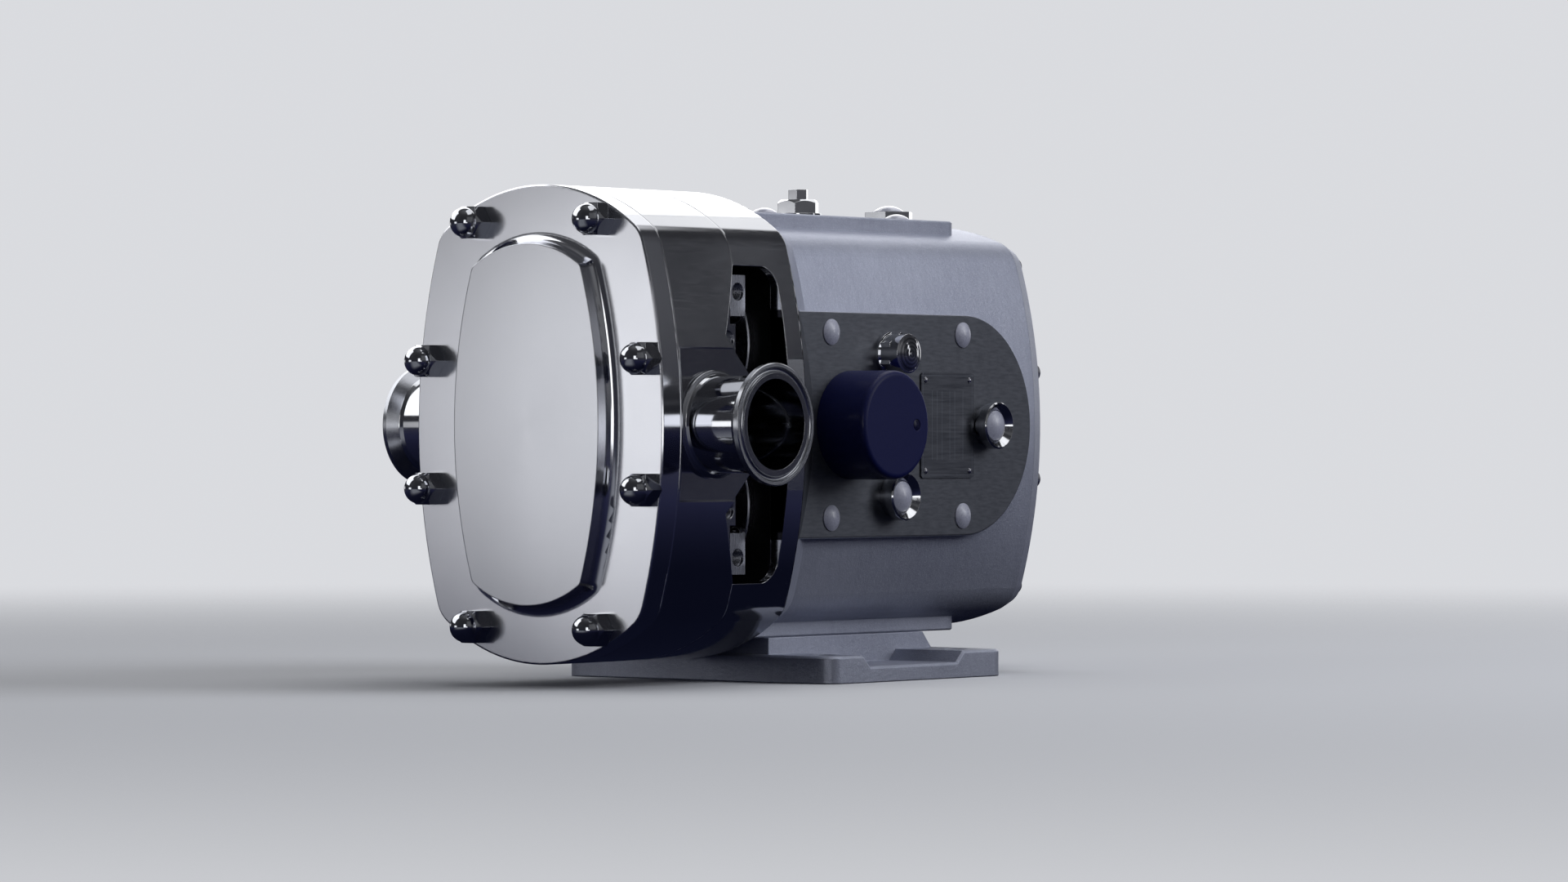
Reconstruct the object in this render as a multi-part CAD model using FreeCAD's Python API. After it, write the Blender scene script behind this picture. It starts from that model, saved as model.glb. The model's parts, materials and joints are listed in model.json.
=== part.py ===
import FreeCAD, Part
import math
import os

# Rotary lobe pump with horizontal clamp ports, window ring, universal gearcase and foot.
# Millimetres. X points to the right-hand port, Y from the front cover to the shaft end, Z up.
# The origin is the centre of the foot's four floor holes, on the foot's underside.
# Shapes are drawn in the pump's own stations: Y from the cover's front face, Z from the port axis.
# place() then lifts them to the port height and moves them back over the foot.

# Main places
port_station = 45.7
shaft_spacing = 87.0

# Outline shared by the front cover, the rotor case and the window ring
body_side_wall = 27.05
body_end_wall = 24.55
body_side_radius = 339.0
body_top_radius = 108.0
body_corner_radius = 18.0
edge_break = 0.8

# Front cover and its raised panel
cover_thickness = 14.3
panel_half_width = 50.0
panel_half_height = 95.0
panel_side_radius = 282.0
panel_top_radius = 65.0
panel_corner_radius = 4.0
panel_height = 10.3
panel_lean = 1.2
panel_foot_radius = 5.5

# Cover studs and dome nuts
stud_diameter = 10.0
stud_hole_clearance = 0.5
stud_thread_clearance = 0.1
top_stud_x = 42.5
top_stud_margin = 19.3
side_stud_margin = 10.3
side_stud_z = 34.0
side_stud_depth = 24.0
end_stud_depth = 25.0
nut_flats = 17.0
nut_hex_height = 10.5
nut_height = 18.3
nut_dome_diameter = 16.0
nut_chamfer_length = 3.0
nut_chamfer_inset = 0.6
nut_thread_depth = 12.0

# Rotors and chamber
rotor_lobes = 3
rotor_offset = 0.15
rotor_tip_clearance = 0.25
rotor_end_clearance = 0.3
chamber_depth = 52.0
rotor_nut_flats = 27.0
rotor_nut_collar = 35.0
rotor_nut_height = 11.0
rotor_nut_recess = 1.0
rotor_nut_clearance = 0.5
rotor_nut_cap = 3.0
rotor_thread_diameter = 18.0
rotor_thread_relief = 1.0
spline_diameter = 28.0
spline_key_count = 6
spline_key_width = 5.0
spline_key_height = 2.0
fit_clearance = 0.05

# Rotor case
case_depth = 55.7
facet_front_land = 2.0
facet_half_height = 40.0
facet_depth = 4.2
notch_top = 84.0
notch_apex_height = 47.0
notch_apex_depth = 14.5
port_passage = 46.0
bridge_half_height = 25.0
bridge_depth = 8.0
rear_block_side_margin = 6.0
rear_block_depth = 8.8
seal_block_half_height = 53.5
seal_block_depth = 4.8
flush_hole_diameter = 9.5
flush_hole_depth = 14.0
lower_flush_station = 77.0
seal_screw_depth = 20.0
lower_flush_height = 45.0
cover_seal_section = 3.9
cover_seal_margin = 5.4
cover_seal_clearance = 0.05

# Ports with clamp ferrules
port_reach = 123.7
port_bore = 47.5
port_tube = 50.8
port_spigot = 6.0
port_collar = 57.0
port_collar_length = 3.5
port_collar_rim = 2.1
port_weld_height = 0.8
port_weld_length = 1.5
ferrule_diameter = 64.0
ferrule_rim = 2.9
ferrule_edge = 0.5
ferrule_taper_length = 4.8
ferrule_neck_length = 1.8
ferrule_neck_height = 1.2
gasket_groove_diameter = 56.6
gasket_groove_radius = 1.6

# Shaft seals
seal_bore = 56.0
seal_lip = 3.0
seal_lip_bore = 44.0
stationary_ring_bore = 36.0
stationary_ring_length = 7.6
rotary_ring_diameter = 46.0
rotary_ring_length = 6.0
rotary_ring_nose = 2.0
rotary_ring_step = 2.0
seal_spring_length = 2.4
seal_spring_inset = 1.5
seal_spring_clearance = 0.8
seal_collar_length = 7.0
seal_face_gap = 0.1
seal_fit = 0.08
seal_shaft_diameter = 32.0
seal_housing_depth = 12.7
seal_housing_bottom = 57.5
seal_housing_height = 22.0
seal_hub_diameter = 72.0
upper_flush_height = 70.5
seal_screw_diameter = 6.0
seal_screw_x = 46.0
seal_screw_head = 10.0
seal_screw_head_height = 6.0
seal_screw_tip_gap = 1.0

# Window ring
ring_depth = 49.0
ring_side_wall = 13.3
ring_end_wall = 30.3
ring_hollow_corner = 22.0
window_end_wall = 42.3
window_depth = 35.3
window_corner = 12.0
ring_screw_diameter = 8.0
ring_screw_x = 18.0
ring_screw_margin = 21.3
ring_screw_grip = 14.0
ring_screw_depth = 12.0
ring_screw_head = 12.8
ring_screw_head_height = 8.0
ring_screw_tip_gap = 1.0
screw_head_clearance = 0.3
socket_share = 0.8
socket_depth_share = 0.55

# Bearing retainer behind the window
retainer_radius = 50.0
retainer_thickness = 4.6
retainer_spigot = 5.8
retainer_bore_clearance = 4.0
retainer_screw_radius = 45.0
retainer_screw_angles = (20, 65, 115, 160)
retainer_screw_diameter = 5.0
retainer_screw_hole_clearance = 0.4
retainer_screw_head = 8.5
retainer_screw_head_height = 3.0
retainer_screw_engagement = 9.0
retainer_hole_depth = 10.0
lip_seal_diameter = 62.0
lip_seal_length = 7.0
lip_seal_gap = 2.0
lip_seal_rib = 3.0
lip_seal_rib_start = 2.4
lip_seal_rib_end = 5.2
front_shaft_diameter = 40.0
slinger_diameter = 56.0
slinger_length = 4.0
slinger_gap = 1.2
slinger_chamfer = 1.6

# Bearings
front_bearing_outer = 80.0
front_bearing_inner = 52.0
front_bearing_width = 23.0
rear_bearing_outer = 72.0
rear_bearing_inner = 46.0
rear_bearing_width = 23.0
rear_shaft_diameter = 35.0
bearing_fit = 0.02
bearing_gap = 0.08
bearing_shoulder = 4.0
shoulder_height = 4.0
shaft_shoulder_diameter = 48.0
seal_step_clearance = 2.0
shaft_end_chamfer = 1.2

# Gearcase
gearcase_side_step = 7.3
gear_end_gap = 7.5
gearcase_side_radius = 317.0
gearcase_top_radius = 148.0
gearcase_corner_radius = 19.0
gearcase_length = 216.6
cove_length = 16.0
front_cavity_wall = 10.0
rear_cavity_wall = 16.0
front_wall_depth = 33.0
rear_wall_depth = 29.0
rear_cavity_depth = 42.5

# Machined pads of the gearcase
side_pad_rise = 0.6
side_pad_half_height = 61.0
side_pad_rear_gap = 4.6
pad_root_share = 0.8
pad_edge = 0.7
end_pad_edge = 0.8
end_pad_half_width = 44.5
end_pad_rise = 1.2
end_pad_rear_gap = 27.6
end_pad_corner = 8.0

# Fixing pattern shared by the foot and all four pads
fixing_setback = 30.4
fixing_pitch = 117.7
side_fixing_height = 50.0
end_fixing_x = 32.5
cap_diameter = 14.0
cap_crown = 2.6
cap_stem_diameter = 9.0
cap_rim_height = 0.6
cap_stem_length = 8.0
blind_hole_spare = 0.5

# Foot
foot_width = 188.4
foot_length = 157.2
foot_height = 23.6
foot_thickness = 14.6
foot_recess_depth = 6.1
foot_pad_front = 28.4
foot_pad_rear = 39.4
foot_corner = 11.0
foot_edge = 1.2
foot_hole_diameter = 13.0
foot_hole_x = 74.0
pedestal_half_width = 47.0
pedestal_front_gap = 14.4
pedestal_rear_gap = 4.9
pedestal_flare = 8.0
foot_screw_diameter = 10.0
foot_screw_engagement = 12.0
foot_screw_head_diameter = 16.0
foot_screw_head_height = 9.0
foot_screw_recess = 1.0
foot_screw_head_clearance = 0.5

# Oil fittings on the pads
fitting_setback = 84.0
rear_fitting_gap = 47.6
side_fitting_height = 38.8
upper_fitting_lead = 3.6
oil_plug_diameter = 26.0
oil_plug_height = 10.5
oil_plug_stem = 16.0
oil_plug_stem_length = 9.0
oil_plug_neck_inset = 2.0
oil_plug_neck_height = 3.7
oil_plug_flare_height = 4.7
oil_plug_edge = 0.8
oil_plug_dish_depth = 3.2
oil_plug_seat_rim = 0.4
oil_plug_insert_diameter = 16.5
oil_plug_insert_depth = 4.6
oil_plug_insert_rim = 1.6
oil_plug_insert_crown = 3.0
sight_glass_diameter = 23.6
sight_glass_flange = 2.4
sight_glass_height = 16.6
sight_glass_flats = 20.2
sight_glass_flats_height = 9.0
sight_glass_window = 21.4
sight_glass_crown = 2.2
top_fitting_x = 11.0
breather_setback = 87.0
breather_washer = 25.0
breather_washer_height = 2.2
breather_flats = 21.0
breather_height = 9.8
breather_chamfer_length = 2.0
breather_chamfer_inset = 1.0
breather_knob_flats = 10.0
breather_knob_height = 5.6
filler_flats = 25.0
filler_height = 5.5
filler_insert_rim = 0.6

# Nameplate and condition monitor on the right-hand pad
nameplate_setback = 109.3
nameplate_gap = 0.7
nameplate_half_height = 29.0
nameplate_thickness = 0.9
nameplate_corner = 2.0
nameplate_rivet_inset = 4.0
nameplate_rivet_diameter = 3.2
nameplate_rivet_crown = 0.7
nameplate_rivet_rim = 0.3
monitor_setback = 47.0
monitor_diameter = 58.6
monitor_height = 32.0
monitor_edge = 3.0
monitor_light_diameter = 6.0
monitor_light_y = 17.4
monitor_light_depth = 1.2
monitor_light_rim = 1.0
monitor_light_crown = 0.4

# Timing gears
gear_teeth = 29
gear_pressure_angle = 20.0
gear_backlash = 0.24
gear_width = 26.0
gear_shaft_diameter = 34.0
gear_hub_diameter = 44.0
gear_hub_length = 5.0
gear_nut_diameter = 48.0
gear_nut_length = 9.0
gear_nut_slots = 4
gear_nut_slot_width = 6.0
gear_nut_slot_depth = 2.5
gear_key_inset = 1.0
gear_key_width = 10.0
gear_key_height = 8.0
gear_key_depth = 5.0

# Drive end
drive_seat_diameter = 30.0
drive_end_diameter = 28.0
drive_end_length = 60.0
drive_key_width = 8.0
drive_key_height = 7.0
drive_key_depth = 4.0
drive_key_length = 45.0
drive_key_setback = 6.0
rear_cover_thickness = 10.5
rear_cover_taper = 3.5
rear_boss_diameter = 66.0
rear_boss_height = 5.0
rear_seal_diameter = 47.0
rear_seal_length = 7.0
rear_bore_clearance = 3.0
rear_screw_diameter = 6.0
rear_screw_head_diameter = 10.0
rear_screw_head_height = 3.3
rear_screw_length = 22.0
rear_screw_tip_gap = 1.0
rear_corner_screw_x_margin = 24.0
rear_corner_screw_z_margin = 23.5
rear_side_screw_margin = 11.0
rear_side_screw_z = 30.0

# Stations worked out from the sizes above
case_front = cover_thickness
case_rear = case_front + case_depth
chamber_rear = case_front + chamber_depth
rear_block_rear = case_rear + rear_block_depth
seal_block_rear = rear_block_rear + seal_block_depth
seal_housing_rear = rear_block_rear + seal_housing_depth
ring_rear = case_rear + ring_depth
gearcase_rear = ring_rear + gearcase_length
retainer_front = ring_rear - retainer_thickness
front_bearing_front = ring_rear + retainer_spigot
front_bearing_rear = front_bearing_front + front_bearing_width
rear_wall_rear = gearcase_rear - rear_cavity_depth
rear_wall_front = rear_wall_rear - rear_wall_depth
rear_bearing_front = rear_wall_front + bearing_shoulder
rear_bearing_rear = rear_bearing_front + rear_bearing_width
gear_front = rear_bearing_rear + gear_hub_length
gear_rear = gear_front + gear_width
gear_nut_rear = gear_rear + gear_nut_length
rear_cover_rear = gearcase_rear + rear_cover_thickness
drive_end = rear_cover_rear + rear_boss_height + drive_end_length
fixing_front = ring_rear + fixing_setback
foot_centre = fixing_front + fixing_pitch / 2
side_pad_end = gearcase_rear - side_pad_rear_gap
end_pad_end = gearcase_rear - end_pad_rear_gap
fitting_station = ring_rear + fitting_setback
sight_glass_station = fitting_station - upper_fitting_lead
rear_fitting_station = gearcase_rear - rear_fitting_gap
breather_station = ring_rear + breather_setback
monitor_station = ring_rear + monitor_setback
nameplate_front = ring_rear + nameplate_setback
nameplate_rear = rear_fitting_station - oil_plug_diameter / 2 + oil_plug_neck_inset - nameplate_gap
pedestal_front = fixing_front - pedestal_front_gap
pedestal_rear = fixing_front + fixing_pitch + pedestal_rear_gap

# Rotors and gears worked out from the shafts, and the outlines that go round them
shaft_height = shaft_spacing / 2
pitch_radius = shaft_spacing / 2
rolling_radius = pitch_radius / (2 * rotor_lobes)
rotor_tip_radius = pitch_radius + 2 * rolling_radius
chamber_radius = rotor_tip_radius + rotor_tip_clearance
gear_module = shaft_spacing / gear_teeth
gear_tip_radius = pitch_radius + gear_module
body_half_width = chamber_radius + body_side_wall
body_half_height = shaft_height + chamber_radius + body_end_wall
top_stud_z = body_half_height - top_stud_margin
side_stud_x = body_half_width - side_stud_margin
ring_hollow_half_width = body_half_width - ring_side_wall
ring_hollow_half_height = body_half_height - ring_end_wall
window_half_height = body_half_height - window_end_wall
ring_screw_z = body_half_height - ring_screw_margin
rear_block_half_width = ring_hollow_half_width - rear_block_side_margin
rear_block_half_height = window_half_height
gearcase_half_width = body_half_width - gearcase_side_step
gearcase_half_height = shaft_height + gear_tip_radius + gear_end_gap + rear_cavity_wall
side_pad_face = gearcase_half_width + side_pad_rise
end_pad_height = gearcase_half_height + end_pad_rise
port_height = end_pad_height + foot_height
seal_housing_top = seal_housing_bottom + seal_housing_height
seal_screw_z = seal_housing_bottom + seal_housing_height / 2

# Places of the seals between rotors and window
stationary_ring_front = chamber_rear + seal_lip
rotary_ring_front = stationary_ring_front + stationary_ring_length + seal_face_gap
seal_collar_front = rotary_ring_front + rotary_ring_length + seal_spring_length
seal_collar_rear = seal_collar_front + seal_collar_length
rotor_front = case_front + rotor_end_clearance
rotor_length = chamber_depth - 2 * rotor_end_clearance
upper_flush_station = rear_block_rear + seal_housing_depth / 2

AXIS_X = FreeCAD.Vector(1, 0, 0)
AXIS_Y = FreeCAD.Vector(0, 1, 0)
AXIS_Z = FreeCAD.Vector(0, 0, 1)


def point(x, y, z):
    return FreeCAD.Vector(x, y, z)


def place(shape):
    """Moves a shape from the pump's stations to the part's own frame"""
    moved = shape.copy()
    moved.translate(point(0, -foot_centre, port_height))
    return moved


def rod(radius, front, rear, x=0.0, z=0.0):
    """Cylinder along Y between two stations"""
    return Part.makeCylinder(radius, rear - front, point(x, front, z), AXIS_Y)


def tube(outer_radius, inner_radius, front, rear, x=0.0, z=0.0):
    return rod(outer_radius, front, rear, x, z).cut(rod(inner_radius, front, rear, x, z))


def block(x0, x1, y0, y1, z0, z1):
    return Part.makeBox(x1 - x0, y1 - y0, z1 - z0, point(x0, y0, z0))


def edges_at_station(shape, station):
    """Edges that lie in the plane Y = station"""
    found = []
    for edge in shape.Edges:
        box = edge.BoundBox
        if abs(box.YMin - station) < 1e-4 and abs(box.YMax - station) < 1e-4:
            found.append(edge)
    return found


def break_end(shape, station, size):
    """Small chamfer round one end of a prism"""
    return shape.makeChamfer(size, edges_at_station(shape, station))


def mirror_x(shape):
    return shape.mirror(point(0, 0, 0), AXIS_X)


def mirror_z(shape):
    return shape.mirror(point(0, 0, 0), AXIS_Z)


def four_ways(x, z):
    """The four mirrored places of one point in the front view"""
    return [(x, z), (-x, z), (-x, -z), (x, -z)]


def compound(shapes):
    return Part.makeCompound(shapes)


# Barrel-shaped outline: two side arcs, two end arcs and four corner arcs
def oval(sizes, inset, station):
    half_width, half_height, side_radius, top_radius, corner_radius = [s - inset for s in sizes]
    side_x = half_width - side_radius
    top_z = half_height - top_radius
    side_reach = side_radius - corner_radius
    top_reach = top_radius - corner_radius
    gap = math.hypot(side_x, top_z)
    along = (side_reach ** 2 - top_reach ** 2 + gap ** 2) / (2 * gap)
    across = math.sqrt(side_reach ** 2 - along ** 2)
    ux = -side_x / gap
    uz = top_z / gap
    corner_x = side_x + along * ux - across * uz
    corner_z = along * uz + across * ux
    if corner_x < 0 or corner_z < 0:
        corner_x = side_x + along * ux + across * uz
        corner_z = along * uz - across * ux
    side_angle = math.atan2(corner_z, corner_x - side_x)
    top_angle = math.atan2(corner_z - top_z, corner_x)
    middle = (side_angle + top_angle) / 2
    sx = side_x + side_radius * math.cos(side_angle)
    sz = side_radius * math.sin(side_angle)
    tx = top_radius * math.cos(top_angle)
    tz = top_z + top_radius * math.sin(top_angle)
    cx = corner_x + corner_radius * math.cos(middle)
    cz = corner_z + corner_radius * math.sin(middle)

    def arc(x0, z0, x1, z1, x2, z2):
        return Part.Arc(point(x0, station, z0), point(x1, station, z1), point(x2, station, z2)).toShape()

    edges = [
        arc(sx, -sz, half_width, 0, sx, sz),
        arc(sx, sz, cx, cz, tx, tz),
        arc(tx, tz, 0, half_height, -tx, tz),
        arc(-tx, tz, -cx, cz, -sx, sz),
        arc(-sx, sz, -half_width, 0, -sx, -sz),
        arc(-sx, -sz, -cx, -cz, -tx, -tz),
        arc(-tx, -tz, 0, -half_height, tx, -tz),
        arc(tx, -tz, cx, -cz, sx, -sz),
    ]
    return Part.Wire(edges)


def oval_prism(sizes, inset, front, rear):
    face = Part.Face(oval(sizes, inset, front))
    return face.extrude(point(0, rear - front, 0))


def oval_taper(sizes_a, inset_a, station_a, sizes_b, inset_b, station_b):
    """Solid whose ends are two outlines"""
    return Part.makeLoft([oval(sizes_a, inset_a, station_a), oval(sizes_b, inset_b, station_b)], True, True)


body_sizes = (body_half_width, body_half_height, body_side_radius, body_top_radius, body_corner_radius)
panel_sizes = (panel_half_width, panel_half_height, panel_side_radius, panel_top_radius, panel_corner_radius)
gearcase_sizes = (gearcase_half_width, gearcase_half_height, gearcase_side_radius,
                  gearcase_top_radius, gearcase_corner_radius)


def rounded_slab(half_width, half_height, corner, front, rear):
    """Rounded rectangle in the front view, extruded along Y"""
    slab = block(-half_width, half_width, front, rear, -half_height, half_height)
    upright = [e for e in slab.Edges if e.BoundBox.YLength > (rear - front) * 0.99]
    return slab.makeFillet(corner, upright)


def hexagon(flats, height, base, direction):
    """Hexagonal prism: base point, direction of its axis, size across flats"""
    corner = flats / math.sqrt(3)
    corners = []
    for i in range(7):
        angle = math.radians(60 * i)
        corners.append(point(corner * math.cos(angle), corner * math.sin(angle), 0))
    prism = Part.Face(Part.makePolygon(corners)).extrude(point(0, 0, height))
    turn = FreeCAD.Rotation(AXIS_Z, direction)
    prism.Placement = FreeCAD.Placement(base, turn)
    return prism


def turned(outline, base, direction):
    """Solid of revolution: outline of (radius, height) pairs, its axis from base along direction"""
    corners = [point(r, 0, h) for r, h in outline]
    corners.append(corners[0])
    solid = Part.Face(Part.makePolygon(corners)).revolve(point(0, 0, 0), AXIS_Z, 360)
    solid.Placement = FreeCAD.Placement(base, FreeCAD.Rotation(AXIS_Z, direction))
    return solid


def domed_disc(diameter, crown, height, base, direction):
    """Disc with a spherical top: height is that of its straight rim"""
    radius = diameter / 2
    sphere_radius = (radius ** 2 + crown ** 2) / (2 * crown)
    body = Part.makeCylinder(radius, height + crown, base, direction)
    centre = base + direction * (height + crown - sphere_radius)
    return body.common(Part.makeSphere(sphere_radius, centre))


def stud_places():
    return four_ways(top_stud_x, top_stud_z) + four_ways(side_stud_x, side_stud_z)


# Front cover: barrel plate with a raised panel and eight stud holes
def front_cover():
    plate = oval_prism(body_sizes, 0, 0, cover_thickness)
    plate = break_end(plate, 0, edge_break)
    panel = oval_taper(panel_sizes, -panel_lean, 0, panel_sizes, 0, -panel_height)
    cover = plate.fuse(panel)
    reach = panel_half_width + panel_lean + 1
    panel_foot = [e for e in edges_at_station(cover, 0) if abs(e.CenterOfMass.x) < reach and
                  e.BoundBox.ZLength < 2 * panel_half_height and e.BoundBox.XMax < reach]
    cover = cover.makeFillet(panel_foot_radius, panel_foot)
    for x, z in stud_places():
        cover = cover.cut(rod((stud_diameter + stud_hole_clearance) / 2, -1, cover_thickness + 1, x, z))
    return cover


# Dome nut: hexagon with a chamfered front and a spherical cap over a blind thread
def dome_nut(x, z):
    forward = point(0, -1, 0)
    base = point(x, 0, z)
    corner = nut_flats / math.sqrt(3)
    chamfer_cone = turned([(0, 0), (corner, 0), (corner, nut_hex_height - nut_chamfer_length),
                           (nut_flats / 2 - nut_chamfer_inset, nut_hex_height), (0, nut_hex_height)],
                          base, forward)
    hexagon_part = hexagon(nut_flats, nut_hex_height, base, forward).common(chamfer_cone)
    dome_radius = nut_dome_diameter / 2
    neck = Part.makeCylinder(dome_radius, nut_height - dome_radius, base, forward)
    dome = Part.makeSphere(dome_radius, point(x, -(nut_height - dome_radius), z))
    nut = hexagon_part.fuse([neck, dome]).removeSplitter()
    thread = (stud_diameter + stud_thread_clearance) / 2
    return nut.cut(rod(thread, -nut_thread_depth, 1, x, z))


def dome_nuts():
    return compound([dome_nut(x, z) for x, z in stud_places()])


# Studs: the four end ones reach through the case into the window ring, the side ones into the case
def cover_studs():
    tip = nut_thread_depth - 1
    studs = []
    for x, z in four_ways(top_stud_x, top_stud_z):
        studs.append(rod(stud_diameter / 2, -tip, case_rear + end_stud_depth, x, z))
    for x, z in four_ways(side_stud_x, side_stud_z):
        studs.append(rod(stud_diameter / 2, -tip, case_front + side_stud_depth, x, z))
    return compound(studs)


def racetrack(radius, front, rear):
    """Both shaft circles and the straight flanks between them"""
    ends = [rod(radius, front, rear, 0, z) for z in (shaft_height, -shaft_height)]
    middle = block(-radius, radius, front, rear, -shaft_height, shaft_height)
    return ends[0].fuse([ends[1], middle]).removeSplitter()


def cover_seal_path_radius():
    return chamber_radius + cover_seal_margin


# Seal cord in the groove round the chamber
def cover_seal():
    radius = cover_seal_path_radius()
    section = cover_seal_section / 2
    station = case_front + section + cover_seal_clearance
    pieces = []
    for sign in (1, -1):
        ring = Part.makeTorus(radius, section, point(0, station, sign * shaft_height), AXIS_Y)
        reach = radius + section + 1
        keep = block(-reach, reach, station - reach, station + reach, 0, reach)
        keep.translate(point(0, 0, shaft_height))
        if sign < 0:
            keep = mirror_z(keep)
        pieces.append(ring.common(keep))
        flank_base = point(sign * radius, station, -shaft_height)
        pieces.append(Part.makeCylinder(section, shaft_spacing, flank_base, AXIS_Z))
    return pieces[0].fuse(pieces[1:])


def side_notch():
    """Cut at the rear of one flank: from the window's end down to the apex and back to the bridge"""
    outline = [
        point(rear_block_half_width, case_rear, notch_top),
        point(rear_block_half_width, case_rear - notch_apex_depth, notch_apex_height),
        point(rear_block_half_width, case_rear + bridge_depth + 1, bridge_half_height - 1),
        point(rear_block_half_width, case_rear + bridge_depth + 1, notch_top),
        point(rear_block_half_width, case_rear, notch_top),
    ]
    return Part.Face(Part.makePolygon(outline)).extrude(point(body_half_width, 0, 0))


def flush_hole(station, height, sign):
    base = point(sign * (rear_block_half_width + 1), station, height)
    return Part.makeCylinder(flush_hole_diameter / 2, flush_hole_depth + 1, base, point(-sign, 0, 0))


# Rotor case: chamber for both rotors, port bores, notched flanks and the seal bores behind
def rotor_case():
    case = oval_prism(body_sizes, 0, case_front, case_rear)
    case = break_end(case, case_front, edge_break)
    facet_x = body_half_width - facet_depth
    bridge = block(-facet_x, facet_x, case_rear, case_rear + bridge_depth,
                   -facet_half_height, facet_half_height)
    rear_block = rounded_slab(rear_block_half_width, rear_block_half_height, ring_hollow_corner,
                              case_rear, rear_block_rear)
    seal_block = block(-rear_block_half_width, rear_block_half_width, rear_block_rear, seal_block_rear,
                       -seal_block_half_height, seal_block_half_height)
    case = case.fuse([bridge, rear_block, seal_block])
    for sign in (1, -1):
        flank = block(facet_x, body_half_width, case_front + facet_front_land, case_rear + bridge_depth,
                      -facet_half_height, facet_half_height)
        flank = flank if sign > 0 else mirror_x(flank)
        case = case.cut(flank)
    notch = side_notch()
    notches = [notch, mirror_x(notch), mirror_z(notch), mirror_x(mirror_z(notch))]
    case = case.cut(compound(notches))
    chamber = [rod(chamber_radius, case_front - 1, chamber_rear, 0, z) for z in (shaft_height, -shaft_height)]
    case = case.cut(chamber[0].fuse(chamber[1]))
    bore_start = chamber_radius - 2 * rolling_radius
    for sign in (1, -1):
        direction = point(sign, 0, 0)
        bore_base = point(sign * bore_start / 2, port_station, 0)
        case = case.cut(Part.makeCylinder(port_passage / 2, body_half_width, bore_base, direction))
        seat_base = point(sign * (facet_x - port_spigot), port_station, 0)
        seat_radius = port_tube / 2 + fit_clearance
        case = case.cut(Part.makeCylinder(seat_radius, body_half_width, seat_base, direction))
        for height in (lower_flush_height, -lower_flush_height):
            case = case.cut(flush_hole(lower_flush_station, height, sign))
    for z in (shaft_height, -shaft_height):
        case = case.cut(rod(seal_lip_bore / 2, chamber_rear - 1, seal_block_rear + 1, 0, z))
        case = case.cut(rod(seal_bore / 2, stationary_ring_front, seal_block_rear + 1, 0, z))
    for x, z in four_ways(top_stud_x, top_stud_z):
        case = case.cut(rod((stud_diameter + stud_hole_clearance) / 2, case_front - 1, case_rear + 1, x, z))
    for x, z in four_ways(side_stud_x, side_stud_z):
        case = case.cut(rod((stud_diameter + stud_thread_clearance) / 2, case_front - 1,
                            case_front + side_stud_depth + 1, x, z))
    for x, z in four_ways(seal_screw_x, seal_screw_z):
        case = case.cut(rod(seal_screw_diameter / 2 + fit_clearance, seal_housing_rear - seal_screw_depth,
                            rear_block_rear + 1, x, z))
    groove_half = cover_seal_section / 2 + cover_seal_clearance
    groove_depth = cover_seal_section + 2 * cover_seal_clearance
    outer = racetrack(cover_seal_path_radius() + groove_half, case_front - 1, case_front + groove_depth)
    inner = racetrack(cover_seal_path_radius() - groove_half, case_front - 1, case_front + groove_depth)
    return case.cut(outer.cut(inner))


# Port: tube with a weld collar at the case and a clamp ferrule with a gasket groove
def port(sign):
    facet_x = body_half_width - facet_depth
    start = facet_x - port_spigot
    rim_start = port_reach - ferrule_rim
    taper_start = rim_start - ferrule_taper_length
    collar_end = facet_x + port_collar_length
    half_tube = port_tube / 2
    half_rim = ferrule_diameter / 2
    outline = [
        (port_bore / 2, start),
        (half_tube, start),
        (half_tube, facet_x),
        (port_collar / 2, facet_x),
        (port_collar / 2, facet_x + port_collar_rim),
        (half_tube + port_weld_height, collar_end),
        (half_tube, collar_end + port_weld_length),
        (half_tube, taper_start - ferrule_neck_length),
        (half_tube + ferrule_neck_height, taper_start),
        (half_rim, rim_start),
        (half_rim, port_reach - ferrule_edge),
        (half_rim - ferrule_edge, port_reach),
        (port_bore / 2, port_reach),
    ]
    direction = point(sign, 0, 0)
    body = turned(outline, point(0, port_station, 0), direction)
    groove = Part.makeTorus(gasket_groove_diameter / 2, gasket_groove_radius,
                            point(sign * port_reach, port_station, 0), direction)
    return body.cut(groove)


def cycloid_points(samples):
    """Closed rotor outline: lobes from a circle rolling outside the pitch circle, hollows inside it.
    Every point is moved into the rotor by rotor_offset along its own normal."""
    p = pitch_radius
    q = rolling_radius
    span = math.pi / rotor_lobes
    result = []
    for part in range(2 * rotor_lobes):
        outside = part % 2 == 0
        start = (part - 0.5) * span
        for k in range(samples):
            roll = 2 * math.pi * (k + 0.5) / samples
            theta = roll * q / p
            if outside:
                x = (p + q) * math.cos(theta) - q * math.cos(theta + roll)
                z = (p + q) * math.sin(theta) - q * math.sin(theta + roll)
            else:
                x = (p - q) * math.cos(theta) + q * math.cos(roll - theta)
                z = (p - q) * math.sin(theta) - q * math.sin(roll - theta)
            contact_x = p * math.cos(theta)
            contact_z = p * math.sin(theta)
            length = math.hypot(contact_x - x, contact_z - z)
            inward = 1 if outside else -1
            x += inward * rotor_offset * (contact_x - x) / length
            z += inward * rotor_offset * (contact_z - z) / length
            turn = start + math.pi / 2
            result.append((x * math.cos(turn) - z * math.sin(turn), x * math.sin(turn) + z * math.cos(turn)))
    return result


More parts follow.
